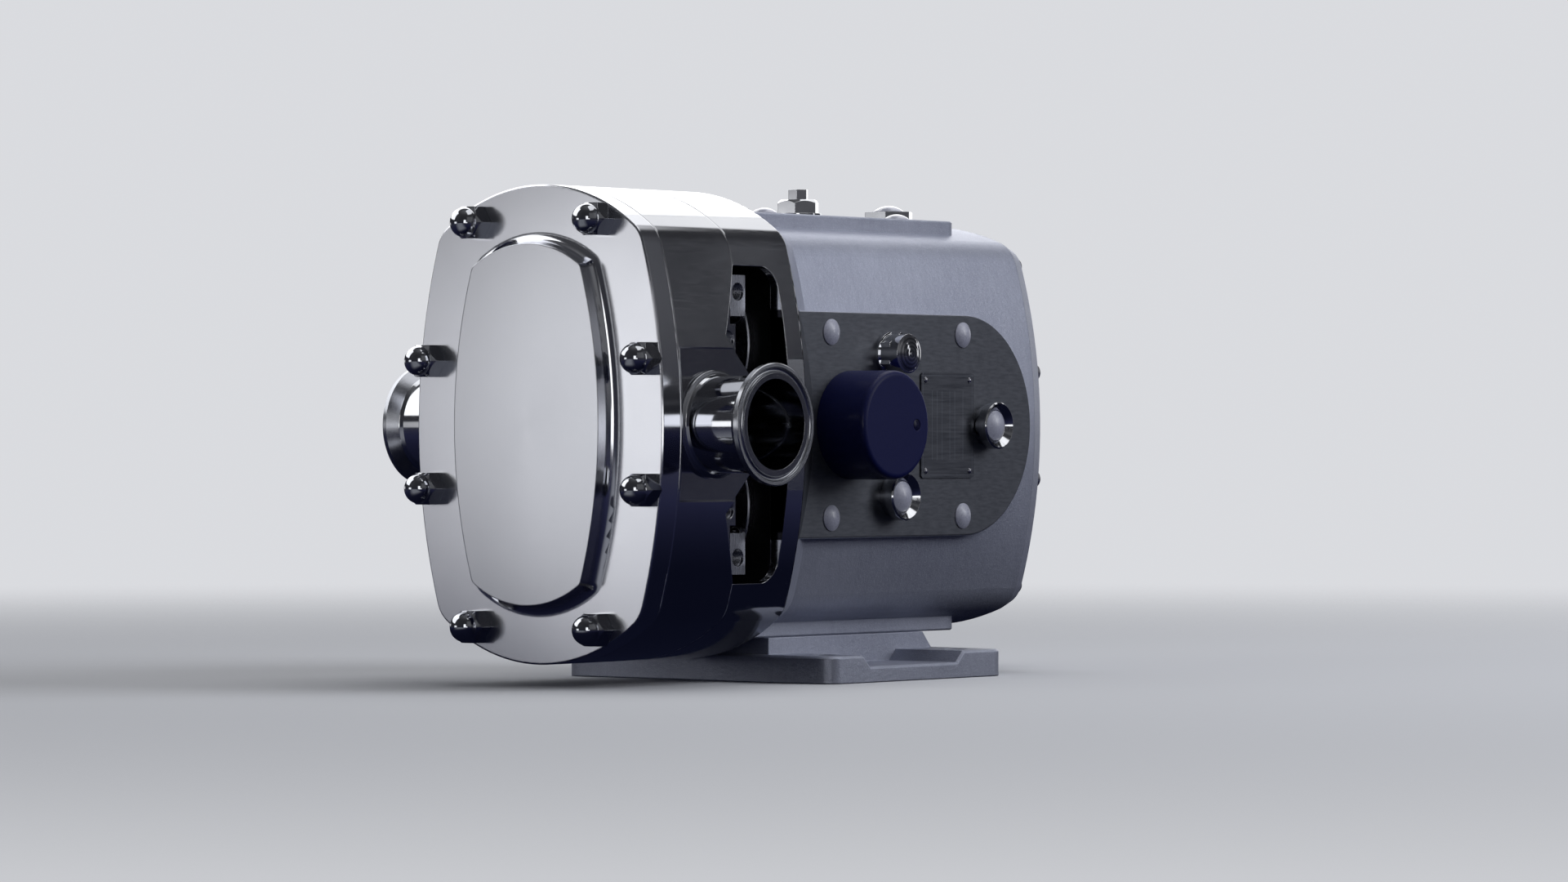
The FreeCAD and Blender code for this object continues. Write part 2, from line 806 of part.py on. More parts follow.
def spline_rod(front, rear, height, grow):
    """Splined seat of a rotor: a round core with square keys"""
    core = rod(spline_diameter / 2 + grow, front, rear, 0, height)
    reach = spline_diameter / 2 + spline_key_height + grow
    half_key = spline_key_width / 2 + grow
    keys = []
    for i in range(spline_key_count):
        key = block(0, reach, front, rear, -half_key, half_key)
        key.rotate(point(0, 0, 0), AXIS_Y, 360.0 / spline_key_count * i)
        key.translate(point(0, 0, height))
        keys.append(key)
    return core.fuse(keys).removeSplitter()


def rotor_nut_seat():
    return rotor_front + rotor_nut_recess + rotor_nut_height


# Rotor: three cycloid lobes, a splined bore and a counterbore for its nut
def rotor(height):
    corners = [point(x, rotor_front, z + height) for x, z in cycloid_points(9)]
    curve = Part.BSplineCurve()
    curve.interpolate(corners, PeriodicFlag=True)
    body = Part.Face(Part.Wire(curve.toShape())).extrude(point(0, rotor_length, 0))
    seat = rotor_nut_seat()
    recess = rod(rotor_nut_collar / 2 + rotor_nut_clearance, rotor_front - 1, seat, 0, height)
    bore = spline_rod(seat - 1, rotor_front + rotor_length + 1, height, fit_clearance)
    return body.cut(recess.fuse(bore))


# Rotor nut: hexagon on a round collar, screwed on the shaft end inside the rotor
def rotor_nut(height):
    seat = rotor_nut_seat()
    collar = rod(rotor_nut_collar / 2, seat - rotor_nut_height / 2, seat, 0, height)
    head = hexagon(rotor_nut_flats, rotor_nut_height, point(0, seat, height), point(0, -1, 0))
    return collar.fuse(head).cut(rod(rotor_thread_diameter / 2 + fit_clearance,
                                     seat - rotor_nut_height + rotor_nut_cap, seat + 1, 0, height))


def stationary_seal_rings():
    rings = []
    for z in (shaft_height, -shaft_height):
        rings.append(tube(seal_bore / 2 - fit_clearance, stationary_ring_bore / 2,
                          stationary_ring_front, stationary_ring_front + stationary_ring_length, 0, z))
    return compound(rings)


def rotary_seal_ring(height):
    step = rotary_ring_front + rotary_ring_nose
    rear = rotary_ring_front + rotary_ring_length
    ring = rod(rotary_ring_diameter / 2, step, rear, 0, height)
    face = rod(rotary_ring_diameter / 2 - rotary_ring_step, rotary_ring_front, step, 0, height)
    bore = rod(seal_shaft_diameter / 2 + fit_clearance, rotary_ring_front - 1, rear + 1, 0, height)
    return ring.fuse(face).cut(bore)


def seal_spring(height):
    start = rotary_ring_front + rotary_ring_length
    return tube(rotary_ring_diameter / 2 - seal_spring_inset, seal_shaft_diameter / 2 + seal_spring_clearance,
                start, start + seal_spring_length, 0, height)


def seal_collar(height):
    collar = tube(rotary_ring_diameter / 2, seal_shaft_diameter / 2 + fit_clearance,
                  seal_collar_front, seal_collar_rear, 0, height)
    return break_end(collar, seal_collar_rear, edge_break)


# Seal housing: bar with a flush hole at each end and a hub round the shaft seal
def seal_housing(sign):
    bar = block(-rear_block_half_width, rear_block_half_width, rear_block_rear, seal_housing_rear,
                seal_housing_bottom, seal_housing_top)
    hub = rod(seal_hub_diameter / 2, seal_block_rear, seal_housing_rear, 0, shaft_height)
    housing = bar.fuse(hub)
    housing = housing.cut(rod(seal_bore / 2, rear_block_rear - 1, seal_housing_rear + 1, 0, shaft_height))
    for side in (1, -1):
        housing = housing.cut(flush_hole(upper_flush_station, upper_flush_height, side))
        housing = housing.cut(rod((seal_screw_diameter + stud_hole_clearance) / 2, rear_block_rear - 1,
                                  seal_housing_rear + 1, side * seal_screw_x, seal_screw_z))
    return housing if sign > 0 else mirror_z(housing)


def cap_screw(diameter, head_diameter, head_height, seat, length, x, z, direction):
    """Socket head screw along Y: direction 1 puts its shank towards +Y from the seat"""
    along = point(0, direction, 0)
    shank = Part.makeCylinder(diameter / 2, length, point(x, seat, z), along)
    top = point(x, seat - direction * head_height, z)
    head = Part.makeCylinder(head_diameter / 2, head_height, top, along)
    socket = hexagon(diameter * socket_share, head_height * socket_depth_share, top, along)
    return shank.fuse(head).cut(socket)


def seal_housing_screws():
    screws = []
    for x, height in four_ways(seal_screw_x, seal_screw_z):
        screws.append(cap_screw(seal_screw_diameter, seal_screw_head, seal_screw_head_height,
                                seal_housing_rear, seal_screw_depth - seal_screw_tip_gap, x, height, -1))
    return compound(screws)


# Window ring: polished spacer between rotor case and gearcase, open on both flanks
def window_ring():
    ring = oval_prism(body_sizes, 0, case_rear, ring_rear)
    ring = break_end(ring, case_rear, edge_break)
    hollow = rounded_slab(ring_hollow_half_width, ring_hollow_half_height, ring_hollow_corner,
                          case_rear - 1, ring_rear + 1)
    ring = ring.cut(hollow)
    reach = body_half_width + 10
    opening = block(-reach, reach, case_rear - window_corner, case_rear + window_depth,
                    -window_half_height, window_half_height)
    corners = []
    for edge in opening.Edges:
        box = edge.BoundBox
        if box.XLength > reach and abs(box.YMin - case_rear - window_depth) < 0.01:
            corners.append(edge)
    opening = opening.makeFillet(window_corner, corners)
    ring = ring.cut(opening)
    for x, z in four_ways(top_stud_x, top_stud_z):
        ring = ring.cut(rod((stud_diameter + stud_thread_clearance) / 2, case_rear - 1,
                            case_rear + end_stud_depth + 1, x, z))
    for x, z in four_ways(ring_screw_x, ring_screw_z):
        ring = ring.cut(rod((ring_screw_diameter + stud_hole_clearance) / 2, case_rear - 1,
                            ring_rear + 1, x, z))
        ring = ring.cut(rod(ring_screw_head / 2 + screw_head_clearance, case_rear - 1,
                            ring_rear - ring_screw_grip, x, z))
    return ring


def ring_screws():
    screws = []
    for x, z in four_ways(ring_screw_x, ring_screw_z):
        screws.append(cap_screw(ring_screw_diameter, ring_screw_head, ring_screw_head_height,
                                ring_rear - ring_screw_grip,
                                ring_screw_grip + ring_screw_depth - ring_screw_tip_gap, x, z, 1))
    return compound(screws)


def retainer_screw_places():
    """Places on the retainer's rim, away from the line between the shafts"""
    places = []
    for angle in retainer_screw_angles:
        x = retainer_screw_radius * math.cos(math.radians(angle))
        z = shaft_height + retainer_screw_radius * math.sin(math.radians(angle))
        places.append((x, z))
        places.append((x, -z))
    return places


# Bearing retainer: two overlapping discs with the lip seals, on the gearcase's front wall
def bearing_retainer():
    discs = [rod(retainer_radius, retainer_front, ring_rear, 0, z) for z in (shaft_height, -shaft_height)]
    plate = discs[0].fuse(discs[1]).removeSplitter()
    plate = break_end(plate, retainer_front, edge_break)
    for z in (shaft_height, -shaft_height):
        plate = plate.fuse(rod(front_bearing_outer / 2 - 2 * fit_clearance, ring_rear,
                               front_bearing_front, 0, z))
    for z in (shaft_height, -shaft_height):
        plate = plate.cut(rod(lip_seal_diameter / 2, retainer_front - 1,
                              retainer_front + lip_seal_length, 0, z))
        plate = plate.cut(rod(front_shaft_diameter / 2 + retainer_bore_clearance, retainer_front,
                              front_bearing_front + 1, 0, z))
    for x, z in retainer_screw_places():
        hole_radius = (retainer_screw_diameter + retainer_screw_hole_clearance) / 2
        plate = plate.cut(rod(hole_radius, retainer_front - 1, ring_rear + 1, x, z))
    return plate


def retainer_screws():
    screws = []
    for x, z in retainer_screw_places():
        screws.append(cap_screw(retainer_screw_diameter, retainer_screw_head, retainer_screw_head_height,
                                retainer_front, retainer_thickness + retainer_screw_engagement, x, z, 1))
    return compound(screws)


def lip_seal(outer, inner, front, length, height):
    body = tube(outer / 2 - fit_clearance, inner / 2 + lip_seal_gap, front, front + length, 0, height)
    lip = tube(inner / 2 + lip_seal_rib, inner / 2 + seal_fit, front + lip_seal_rib_start,
               front + lip_seal_rib_end, 0, height)
    return body.fuse(lip)


def front_lip_seals():
    return compound([lip_seal(lip_seal_diameter, front_shaft_diameter, retainer_front, lip_seal_length, z)
                     for z in (shaft_height, -shaft_height)])


def slinger(height):
    """Rubber deflector on the shaft in front of the lip seal"""
    rear = retainer_front - slinger_gap
    front = rear - slinger_length
    ring = tube(slinger_diameter / 2, front_shaft_diameter / 2 + fit_clearance, front, rear, 0, height)
    return break_end(ring, front, slinger_chamfer)


def bearing_outer_ring(outer, inner, front, width, height):
    return tube(outer / 2 - bearing_fit, inner / 2 + bearing_gap, front, front + width, 0, height)


def bearing_inner_ring(inner, shaft, front, width, height):
    return tube(inner / 2, shaft / 2 + bearing_fit, front, front + width, 0, height)


def front_bearing_outer_rings():
    return compound([bearing_outer_ring(front_bearing_outer, front_bearing_inner, front_bearing_front,
                                        front_bearing_width, z) for z in (shaft_height, -shaft_height)])


def rear_bearing_outer_rings():
    return compound([bearing_outer_ring(rear_bearing_outer, rear_bearing_inner, rear_bearing_front,
                                        rear_bearing_width, z) for z in (shaft_height, -shaft_height)])


def front_bearing_inner_ring(height):
    return bearing_inner_ring(front_bearing_inner, front_shaft_diameter, front_bearing_front,
                              front_bearing_width, height)


def rear_bearing_inner_ring(height):
    return bearing_inner_ring(rear_bearing_inner, rear_shaft_diameter, rear_bearing_front,
                              rear_bearing_width, height)


def side_pad():
    """D-shaped pad on the right flank, from the cove to a round rear end"""
    centre = side_pad_end - side_pad_half_height
    base = gearcase_half_width * pad_root_share
    depth = side_pad_face - base
    straight = block(base, side_pad_face, ring_rear + 1, centre, -side_pad_half_height, side_pad_half_height)
    end = Part.makeCylinder(side_pad_half_height, depth, point(base, centre, 0), AXIS_X)
    pad = straight.fuse(end).removeSplitter()
    rim = [e for e in pad.Edges if e.BoundBox.XMin > side_pad_face - 0.01 and e.BoundBox.YMax > ring_rear + 2]
    return pad.makeChamfer(pad_edge, rim)


def end_pad():
    """Flat pad on top of the gearcase, with rounded rear corners"""
    pad = block(-end_pad_half_width, end_pad_half_width, ring_rear + 1, end_pad_end,
                gearcase_half_height * pad_root_share, end_pad_height)
    corners = []
    for edge in pad.Edges:
        box = edge.BoundBox
        if box.ZLength > 1 and abs(box.YMax - end_pad_end) < 0.01:
            corners.append(edge)
    pad = pad.makeFillet(end_pad_corner, corners)
    rim = [e for e in pad.Edges if e.BoundBox.ZMin > end_pad_height - 0.01 and e.BoundBox.YMax > ring_rear + 2]
    return pad.makeChamfer(end_pad_edge, rim)


def fixing_stations():
    return (fixing_front, fixing_front + fixing_pitch)


def side_fixings():
    """Places of the four fixing holes on the side pad: station and height"""
    return [(y, z) for y in fixing_stations() for z in (side_fixing_height, -side_fixing_height)]


def side_fittings():
    """Places of the three oil ports on a side pad"""
    return [(sight_glass_station, side_fitting_height), (fitting_station, -side_fitting_height),
            (rear_fitting_station, 0)]


def pad_holes():
    """Every blind hole in the four pads"""
    stem = cap_stem_diameter / 2 + fit_clearance
    port = oil_plug_stem / 2 + fit_clearance
    port_depth = oil_plug_stem_length + 1 + blind_hole_spare
    holes = []
    for sign in (1, -1):
        inward = point(-sign, 0, 0)
        for y, z in side_fixings():
            base = point(sign * (side_pad_face + 1), y, z)
            holes.append(Part.makeCylinder(stem, cap_stem_length + 1 + blind_hole_spare, base, inward))
        for y, z in side_fittings():
            base = point(sign * (side_pad_face + 1), y, z)
            holes.append(Part.makeCylinder(port, port_depth, base, inward))
        for y in fixing_stations():
            for x in (end_fixing_x, -end_fixing_x):
                radius = stem if sign > 0 else foot_screw_diameter / 2 + fit_clearance
                depth = cap_stem_length if sign > 0 else foot_screw_engagement
                base = point(x, y, sign * (end_pad_height + 1))
                reach = depth + 1 + blind_hole_spare
                holes.append(Part.makeCylinder(radius, reach, base, point(0, 0, -sign)))
    for y in (breather_station, rear_fitting_station):
        base = point(top_fitting_x, y, end_pad_height + 1)
        holes.append(Part.makeCylinder(port, port_depth, base, point(0, 0, -1)))
    return compound(holes)


# Gearcase: cast barrel with machined pads on four sides, bearing walls and two cavities
def gearcase():
    flange = oval_taper(body_sizes, 0, ring_rear, gearcase_sizes, 0, ring_rear + cove_length)
    barrel = oval_prism(gearcase_sizes, 0, ring_rear + cove_length, gearcase_rear)
    side = side_pad()
    top = end_pad()
    case = barrel.fuse([flange, side, mirror_x(side), top, mirror_z(top)])
    wall_rear = ring_rear + front_wall_depth
    case = case.cut(oval_prism(gearcase_sizes, front_cavity_wall, wall_rear, rear_wall_front))
    case = case.cut(oval_prism(gearcase_sizes, rear_cavity_wall, rear_wall_rear, gearcase_rear + 1))
    for z in (shaft_height, -shaft_height):
        case = case.cut(rod(front_bearing_outer / 2, ring_rear - 1, front_bearing_rear, 0, z))
        case = case.cut(rod(front_bearing_outer / 2 - shoulder_height, front_bearing_rear - 1,
                            wall_rear + 1, 0, z))
        case = case.cut(rod(rear_bearing_outer / 2 - shoulder_height, rear_wall_front - 1,
                            rear_bearing_front + 1, 0, z))
        case = case.cut(rod(rear_bearing_outer / 2, rear_bearing_front, rear_wall_rear + 1, 0, z))
    for x, z in four_ways(ring_screw_x, ring_screw_z):
        case = case.cut(rod((ring_screw_diameter + stud_thread_clearance) / 2, ring_rear - 1,
                            ring_rear + ring_screw_depth, x, z))
    for x, z in retainer_screw_places():
        case = case.cut(rod((retainer_screw_diameter + stud_thread_clearance) / 2, ring_rear - 1,
                            ring_rear + retainer_hole_depth, x, z))
    thread_radius = (rear_screw_diameter + stud_thread_clearance) / 2
    thread_end = rear_cover_rear - rear_screw_length - rear_screw_tip_gap
    for x, z in rear_screw_places():
        case = case.cut(rod(thread_radius, thread_end, gearcase_rear + 1, x, z))
    return case.cut(pad_holes())


def rear_screw_places():
    corner_x = gearcase_half_width - rear_corner_screw_x_margin
    corner_z = gearcase_half_height - rear_corner_screw_z_margin
    side_x = gearcase_half_width - rear_side_screw_margin
    return four_ways(corner_x, corner_z) + four_ways(side_x, rear_side_screw_z)


# Rear cover: closing plate with a boss for the drive shaft's lip seal
def rear_cover():
    cover = oval_taper(gearcase_sizes, 0, gearcase_rear, gearcase_sizes, rear_cover_taper, rear_cover_rear)
    cover = break_end(cover, rear_cover_rear, edge_break)
    boss = rod(rear_boss_diameter / 2, rear_cover_rear, rear_cover_rear + rear_boss_height, 0, -shaft_height)
    boss = break_end(boss, rear_cover_rear + rear_boss_height, edge_break)
    cover = cover.fuse(boss)
    seal_front = rear_cover_rear + rear_boss_height - rear_seal_length
    cover = cover.cut(rod(rear_seal_diameter / 2, seal_front, rear_cover_rear + rear_boss_height + 1,
                          0, -shaft_height))
    cover = cover.cut(rod(drive_seat_diameter / 2 + rear_bore_clearance, gearcase_rear - 1, seal_front + 1,
                          0, -shaft_height))
    for x, z in rear_screw_places():
        cover = cover.cut(rod((rear_screw_diameter + stud_hole_clearance) / 2, gearcase_rear - 1,
                              rear_cover_rear + 1, x, z))
    return cover


def rear_cover_screws():
    return compound([cap_screw(rear_screw_diameter, rear_screw_head_diameter, rear_screw_head_height,
                               rear_cover_rear, rear_screw_length, x, z, -1) for x, z in rear_screw_places()])


def rear_lip_seal():
    front = rear_cover_rear + rear_boss_height - rear_seal_length
    return lip_seal(rear_seal_diameter, drive_seat_diameter, front, rear_seal_length, -shaft_height)


def key_slot(width, depth, shaft_diameter, front, rear, height, grow):
    """Round-ended keyway sunk into the top of a shaft"""
    bottom = shaft_diameter / 2 - depth
    half = width / 2 + grow
    top = shaft_diameter
    body = block(-half, half, front + half, rear - half, height + bottom, height + top)
    ends = [Part.makeCylinder(half, top - bottom, point(0, y, height + bottom), AXIS_Z)
            for y in (front + half, rear - half)]
    return body.fuse(ends)


def parallel_key(width, key_height, depth, shaft_diameter, front, rear, height):
    """Round-ended key that fills its keyway"""
    bottom = shaft_diameter / 2 - depth
    half = width / 2
    body = block(-half, half, front + half, rear - half, height + bottom, height + bottom + key_height)
    ends = [Part.makeCylinder(half, key_height, point(0, y, height + bottom), AXIS_Z)
            for y in (front + half, rear - half)]
    return body.fuse(ends).removeSplitter()


def gear_key_span():
    return gear_front + gear_key_inset, gear_rear - gear_key_inset


def drive_key_span():
    rear = drive_end - drive_key_setback
    return rear - drive_key_length, rear


# Shaft: thread for the rotor nut, splined rotor seat, seal seat, bearing seats and gear seat
def shaft(height, is_drive):
    seat = rotor_nut_seat()
    steps = [
        (rotor_thread_diameter, seat - rotor_nut_height + rotor_nut_cap + rotor_thread_relief, seat),
        (seal_shaft_diameter, rotor_front + rotor_length, seal_collar_rear + seal_step_clearance),
        (front_shaft_diameter, seal_collar_rear + seal_step_clearance, front_bearing_rear),
        (shaft_shoulder_diameter, front_bearing_rear, rear_bearing_front),
        (rear_shaft_diameter, rear_bearing_front, rear_bearing_rear),
        (gear_shaft_diameter, rear_bearing_rear, gear_nut_rear),
    ]
    if is_drive:
        steps.append((drive_seat_diameter, gear_nut_rear, rear_cover_rear + rear_boss_height))
        steps.append((drive_end_diameter, rear_cover_rear + rear_boss_height, drive_end))
    body = spline_rod(seat, rotor_front + rotor_length, height, 0)
    body = body.fuse([rod(diameter / 2, front, rear, 0, height) for diameter, front, rear in steps])
    tail = drive_end if is_drive else gear_nut_rear
    body = break_end(body, tail, shaft_end_chamfer)
    front, rear = gear_key_span()
    body = body.cut(key_slot(gear_key_width, gear_key_depth, gear_shaft_diameter, front, rear, height,
                             fit_clearance))
    if is_drive:
        front, rear = drive_key_span()
        body = body.cut(key_slot(drive_key_width, drive_key_depth, drive_end_diameter, front, rear, height,
                                 fit_clearance))
    return body


def involute_point(base_radius, radius):
    """Polar angle of the involute where it reaches a radius"""
    alpha = math.acos(base_radius / radius)
    return math.tan(alpha) - alpha


# Timing gear: involute teeth, each flank an arc through three points of its involute
def timing_gear(height):
    pitch = pitch_radius
    pressure = math.radians(gear_pressure_angle)
    base = pitch * math.cos(pressure)
    tip = gear_tip_radius
    root = pitch - 1.25 * gear_module
    half_pitch_angle = (math.pi * gear_module / 2 - gear_backlash / 2) / (2 * pitch)
    pitch_angle = involute_point(base, pitch)
    step = 2 * math.pi / gear_teeth

    def at(radius, angle):
        return point(radius * math.sin(angle), gear_front, height + radius * math.cos(angle))

    def flank_angle(radius):
        return half_pitch_angle + pitch_angle - involute_point(base, radius)

    flank_start = base + 0.02
    middle = (flank_start + tip) / 2
    edges = []
    for i in range(gear_teeth):
        centre = i * step
        foot_left = at(root, centre - flank_angle(flank_start))
        start_left = at(flank_start, centre - flank_angle(flank_start))
        tip_left = at(tip, centre - flank_angle(tip))
        tip_right = at(tip, centre + flank_angle(tip))
        start_right = at(flank_start, centre + flank_angle(flank_start))
        foot_right = at(root, centre + flank_angle(flank_start))
        next_foot = at(root, centre + step - flank_angle(flank_start))
        edges.append(Part.LineSegment(foot_left, start_left).toShape())
        edges.append(Part.Arc(start_left, at(middle, centre - flank_angle(middle)), tip_left).toShape())
        edges.append(Part.LineSegment(tip_left, tip_right).toShape())
        edges.append(Part.Arc(tip_right, at(middle, centre + flank_angle(middle)), start_right).toShape())
        edges.append(Part.LineSegment(start_right, foot_right).toShape())
        edges.append(Part.LineSegment(foot_right, next_foot).toShape())
    body = Part.Face(Part.Wire(edges)).extrude(point(0, gear_width, 0))
    body = body.fuse(rod(gear_hub_diameter / 2, rear_bearing_rear, gear_front, 0, height))
    bore = rod(gear_shaft_diameter / 2 + fit_clearance, rear_bearing_rear - 1, gear_rear + 1, 0, height)
    key_top = gear_shaft_diameter / 2 - gear_key_depth + gear_key_height + fit_clearance
    half_key = gear_key_width / 2 + fit_clearance
    slot = block(-half_key, half_key, rear_bearing_rear - 1, gear_rear + 1, height, height + key_top)
    return body.cut(bore.fuse(slot))


def gear_key(height):
    front, rear = gear_key_span()
    return parallel_key(gear_key_width, gear_key_height, gear_key_depth, gear_shaft_diameter, front, rear,
                        height)


def gear_nut(height):
    nut = tube(gear_nut_diameter / 2, gear_shaft_diameter / 2 + fit_clearance, gear_rear, gear_nut_rear,
               0, height)
    for i in range(gear_nut_slots):
        slot = block(-gear_nut_slot_width / 2, gear_nut_slot_width / 2, gear_rear - 1, gear_nut_rear + 1,
                     gear_nut_diameter / 2 - gear_nut_slot_depth, gear_nut_diameter)
        slot.rotate(point(0, 0, 0), AXIS_Y, 360.0 / gear_nut_slots * i)
        slot.translate(point(0, 0, height))
        nut = nut.cut(slot)
    return nut


def drive_key():
    front, rear = drive_key_span()
    return parallel_key(drive_key_width, drive_key_height, drive_key_depth, drive_end_diameter, front, rear,
                        -shaft_height)


def foot_top_rim(plate, half_width, front, rear, lowest):
    """Edges round the foot plate's top, over the pads and down into the recess"""
    rim = []
    for edge in plate.Edges:
        box = edge.BoundBox
        middle = edge.CenterOfMass
        outside = abs(middle.x) > half_width - foot_corner or middle.y < front + 1 or middle.y > rear - 1
        across = box.XLength > foot_width / 2 and box.YLength < 0.01 and front + 1 < middle.y < rear - 1
        if outside and not across and box.ZMin > lowest - 0.01:
            rim.append(edge)
    return rim


# Foot: floor plate with a cross recess and a pedestal up to the gearcase's bottom pad
def foot():
    bottom = -port_height
    top = bottom + foot_thickness
    half_width = foot_width / 2
    front = foot_centre - foot_length / 2
    rear = foot_centre + foot_length / 2
    plate = block(-half_width, half_width, front, rear, bottom, top)
    upright = [e for e in plate.Edges if e.BoundBox.ZLength > foot_thickness * 0.99]
    plate = plate.makeFillet(foot_corner, upright)
    recess_floor = top - foot_recess_depth
    slope = foot_recess_depth
    recess_outline = [
        point(-half_width - 1, front + foot_pad_front, top + 1),
        point(-half_width - 1, front + foot_pad_front, top),
        point(-half_width - 1, front + foot_pad_front + slope, recess_floor),
        point(-half_width - 1, rear - foot_pad_rear - slope, recess_floor),
        point(-half_width - 1, rear - foot_pad_rear, top),
        point(-half_width - 1, rear - foot_pad_rear, top + 1),
        point(-half_width - 1, front + foot_pad_front, top + 1),
    ]
    recess = Part.Face(Part.makePolygon(recess_outline)).extrude(point(foot_width + 2, 0, 0))
    plate = plate.cut(recess)
    plate = plate.makeChamfer(foot_edge, foot_top_rim(plate, half_width, front, rear, recess_floor))
    pedestal_outline = [
        point(-pedestal_half_width, pedestal_front, bottom + foot_thickness / 2),
        point(-pedestal_half_width, pedestal_front, -end_pad_height),
        point(-pedestal_half_width, pedestal_rear, -end_pad_height),
        point(-pedestal_half_width, pedestal_rear + pedestal_flare, top),
        point(-pedestal_half_width, pedestal_rear + pedestal_flare, bottom + foot_thickness / 2),
        point(-pedestal_half_width, pedestal_front, bottom + foot_thickness / 2),
    ]
    pedestal = Part.Face(Part.makePolygon(pedestal_outline)).extrude(point(2 * pedestal_half_width, 0, 0))
    solid = plate.fuse(pedestal)
    for y in fixing_stations():
        for x in (end_fixing_x, -end_fixing_x):
            base = point(x, y, bottom - 1)
            hole_radius = (foot_screw_diameter + stud_hole_clearance) / 2
            head_room = foot_screw_head_diameter / 2 + foot_screw_head_clearance
            head_depth = foot_screw_head_height + foot_screw_recess + 1
            solid = solid.cut(Part.makeCylinder(hole_radius, port_height, base, AXIS_Z))
            solid = solid.cut(Part.makeCylinder(head_room, head_depth, base, AXIS_Z))
        for x in (foot_hole_x, -foot_hole_x):
            solid = solid.cut(Part.makeCylinder(foot_hole_diameter / 2, foot_thickness + 2,
                                                point(x, y, bottom - 1), AXIS_Z))
    return solid


def foot_screws():
    seat = -port_height + foot_screw_head_height + foot_screw_recess
    screws = []
    for y in fixing_stations():
        for x in (end_fixing_x, -end_fixing_x):
            shank_length = foot_screw_engagement - end_pad_height - seat
            shank = Part.makeCylinder(foot_screw_diameter / 2, shank_length, point(x, y, seat), AXIS_Z)
            top = point(x, y, seat - foot_screw_head_height)
            head = Part.makeCylinder(foot_screw_head_diameter / 2, foot_screw_head_height, top, AXIS_Z)
            socket_depth = foot_screw_head_height * socket_depth_share
            socket = hexagon(foot_screw_diameter * socket_share, socket_depth, top, AXIS_Z)
            screws.append(shank.fuse(head).cut(socket))
    return compound(screws)


def pad_cap(base, direction):
    """Domed blanking cap with a stem in the fixing hole"""
    dome = domed_disc(cap_diameter, cap_crown, cap_rim_height, base, direction)
    stem = Part.makeCylinder(cap_stem_diameter / 2, cap_stem_length, base, direction * -1)
    return dome.fuse(stem)


# Blanking caps in the unused fixing holes of the top and side pads
def pad_caps():
    caps = []
    for sign in (1, -1):
        for y, z in side_fixings():
            caps.append(pad_cap(point(sign * side_pad_face, y, z), point(sign, 0, 0)))
    for y in fixing_stations():
        for x in (end_fixing_x, -end_fixing_x):
            caps.append(pad_cap(point(x, y, end_pad_height), AXIS_Z))
    return compound(caps)


def oil_plug_places():
    """Plugs on both side pads; the upper front port of the right one holds the sight glass"""
    places = []
    for sign in (1, -1):
        for y, z in side_fittings():
            if sign > 0 and z > 0:
                continue
            places.append((point(sign * side_pad_face, y, z), point(sign, 0, 0)))
    return places


def oil_plug(base, direction):
    radius = oil_plug_diameter / 2
    seat = oil_plug_insert_diameter / 2 + fit_clearance
    neck = radius - oil_plug_neck_inset
    floor = oil_plug_height - oil_plug_insert_depth
    dish = oil_plug_height - oil_plug_dish_depth
    body = turned([(0, 0), (neck, 0), (neck, oil_plug_neck_height), (radius, oil_plug_flare_height),
                   (radius, oil_plug_height - oil_plug_edge), (radius - oil_plug_edge, oil_plug_height),
                   (seat + oil_plug_seat_rim, dish), (seat, dish), (seat, floor), (0, floor)],
                  base, direction)
    stem = Part.makeCylinder(oil_plug_stem / 2, oil_plug_stem_length, base, direction * -1)
    return body.fuse(stem)


def oil_plugs():
    return compound([oil_plug(base, direction) for base, direction in oil_plug_places()])


# Domed inserts of the oil plugs and of the filler plug
def plug_inserts():
    inserts = []
    for base, direction in oil_plug_places():
        inserts.append(domed_disc(oil_plug_insert_diameter, oil_plug_insert_crown, oil_plug_insert_rim,
                                  base + direction * (oil_plug_height - oil_plug_insert_depth), direction))
    filler_top = point(top_fitting_x, rear_fitting_station, end_pad_height + filler_height)
    inserts.append(domed_disc(oil_plug_insert_diameter, oil_plug_insert_crown, filler_insert_rim,
                              filler_top, AXIS_Z))
    return compound(inserts)


# Sight glass: clear hexagon with a round domed window and a stem in the oil port
def sight_glass():
    base = point(side_pad_face, sight_glass_station, side_fitting_height)
    flange = Part.makeCylinder(sight_glass_diameter / 2, sight_glass_flange, base, AXIS_X)
    head = hexagon(sight_glass_flats, sight_glass_flats_height, base, AXIS_X)
    window = domed_disc(sight_glass_window, sight_glass_crown, sight_glass_height - sight_glass_crown,
                        base, AXIS_X)
    stem = Part.makeCylinder(oil_plug_stem / 2, oil_plug_stem_length, base, point(-1, 0, 0))
    return flange.fuse([head, window, stem])


# Breather on the top pad: washer, hexagon body and a small hexagon knob
def breather():
    base = point(top_fitting_x, breather_station, end_pad_height)
    washer = Part.makeCylinder(breather_washer / 2, breather_washer_height, base, AXIS_Z)
    body = hexagon(breather_flats, breather_height, base, AXIS_Z)
    corner = breather_flats / math.sqrt(3)
    chamfer = turned([(0, 0), (corner, 0), (corner, breather_height - breather_chamfer_length),
                      (breather_flats / 2 - breather_chamfer_inset, breather_height), (0, breather_height)],
                     base, AXIS_Z)
    body = body.common(chamfer)
    knob = hexagon(breather_knob_flats, breather_height + breather_knob_height, base, AXIS_Z)
    stem = Part.makeCylinder(oil_plug_stem / 2, oil_plug_stem_length, base, point(0, 0, -1))
    return washer.fuse([body, knob, stem])


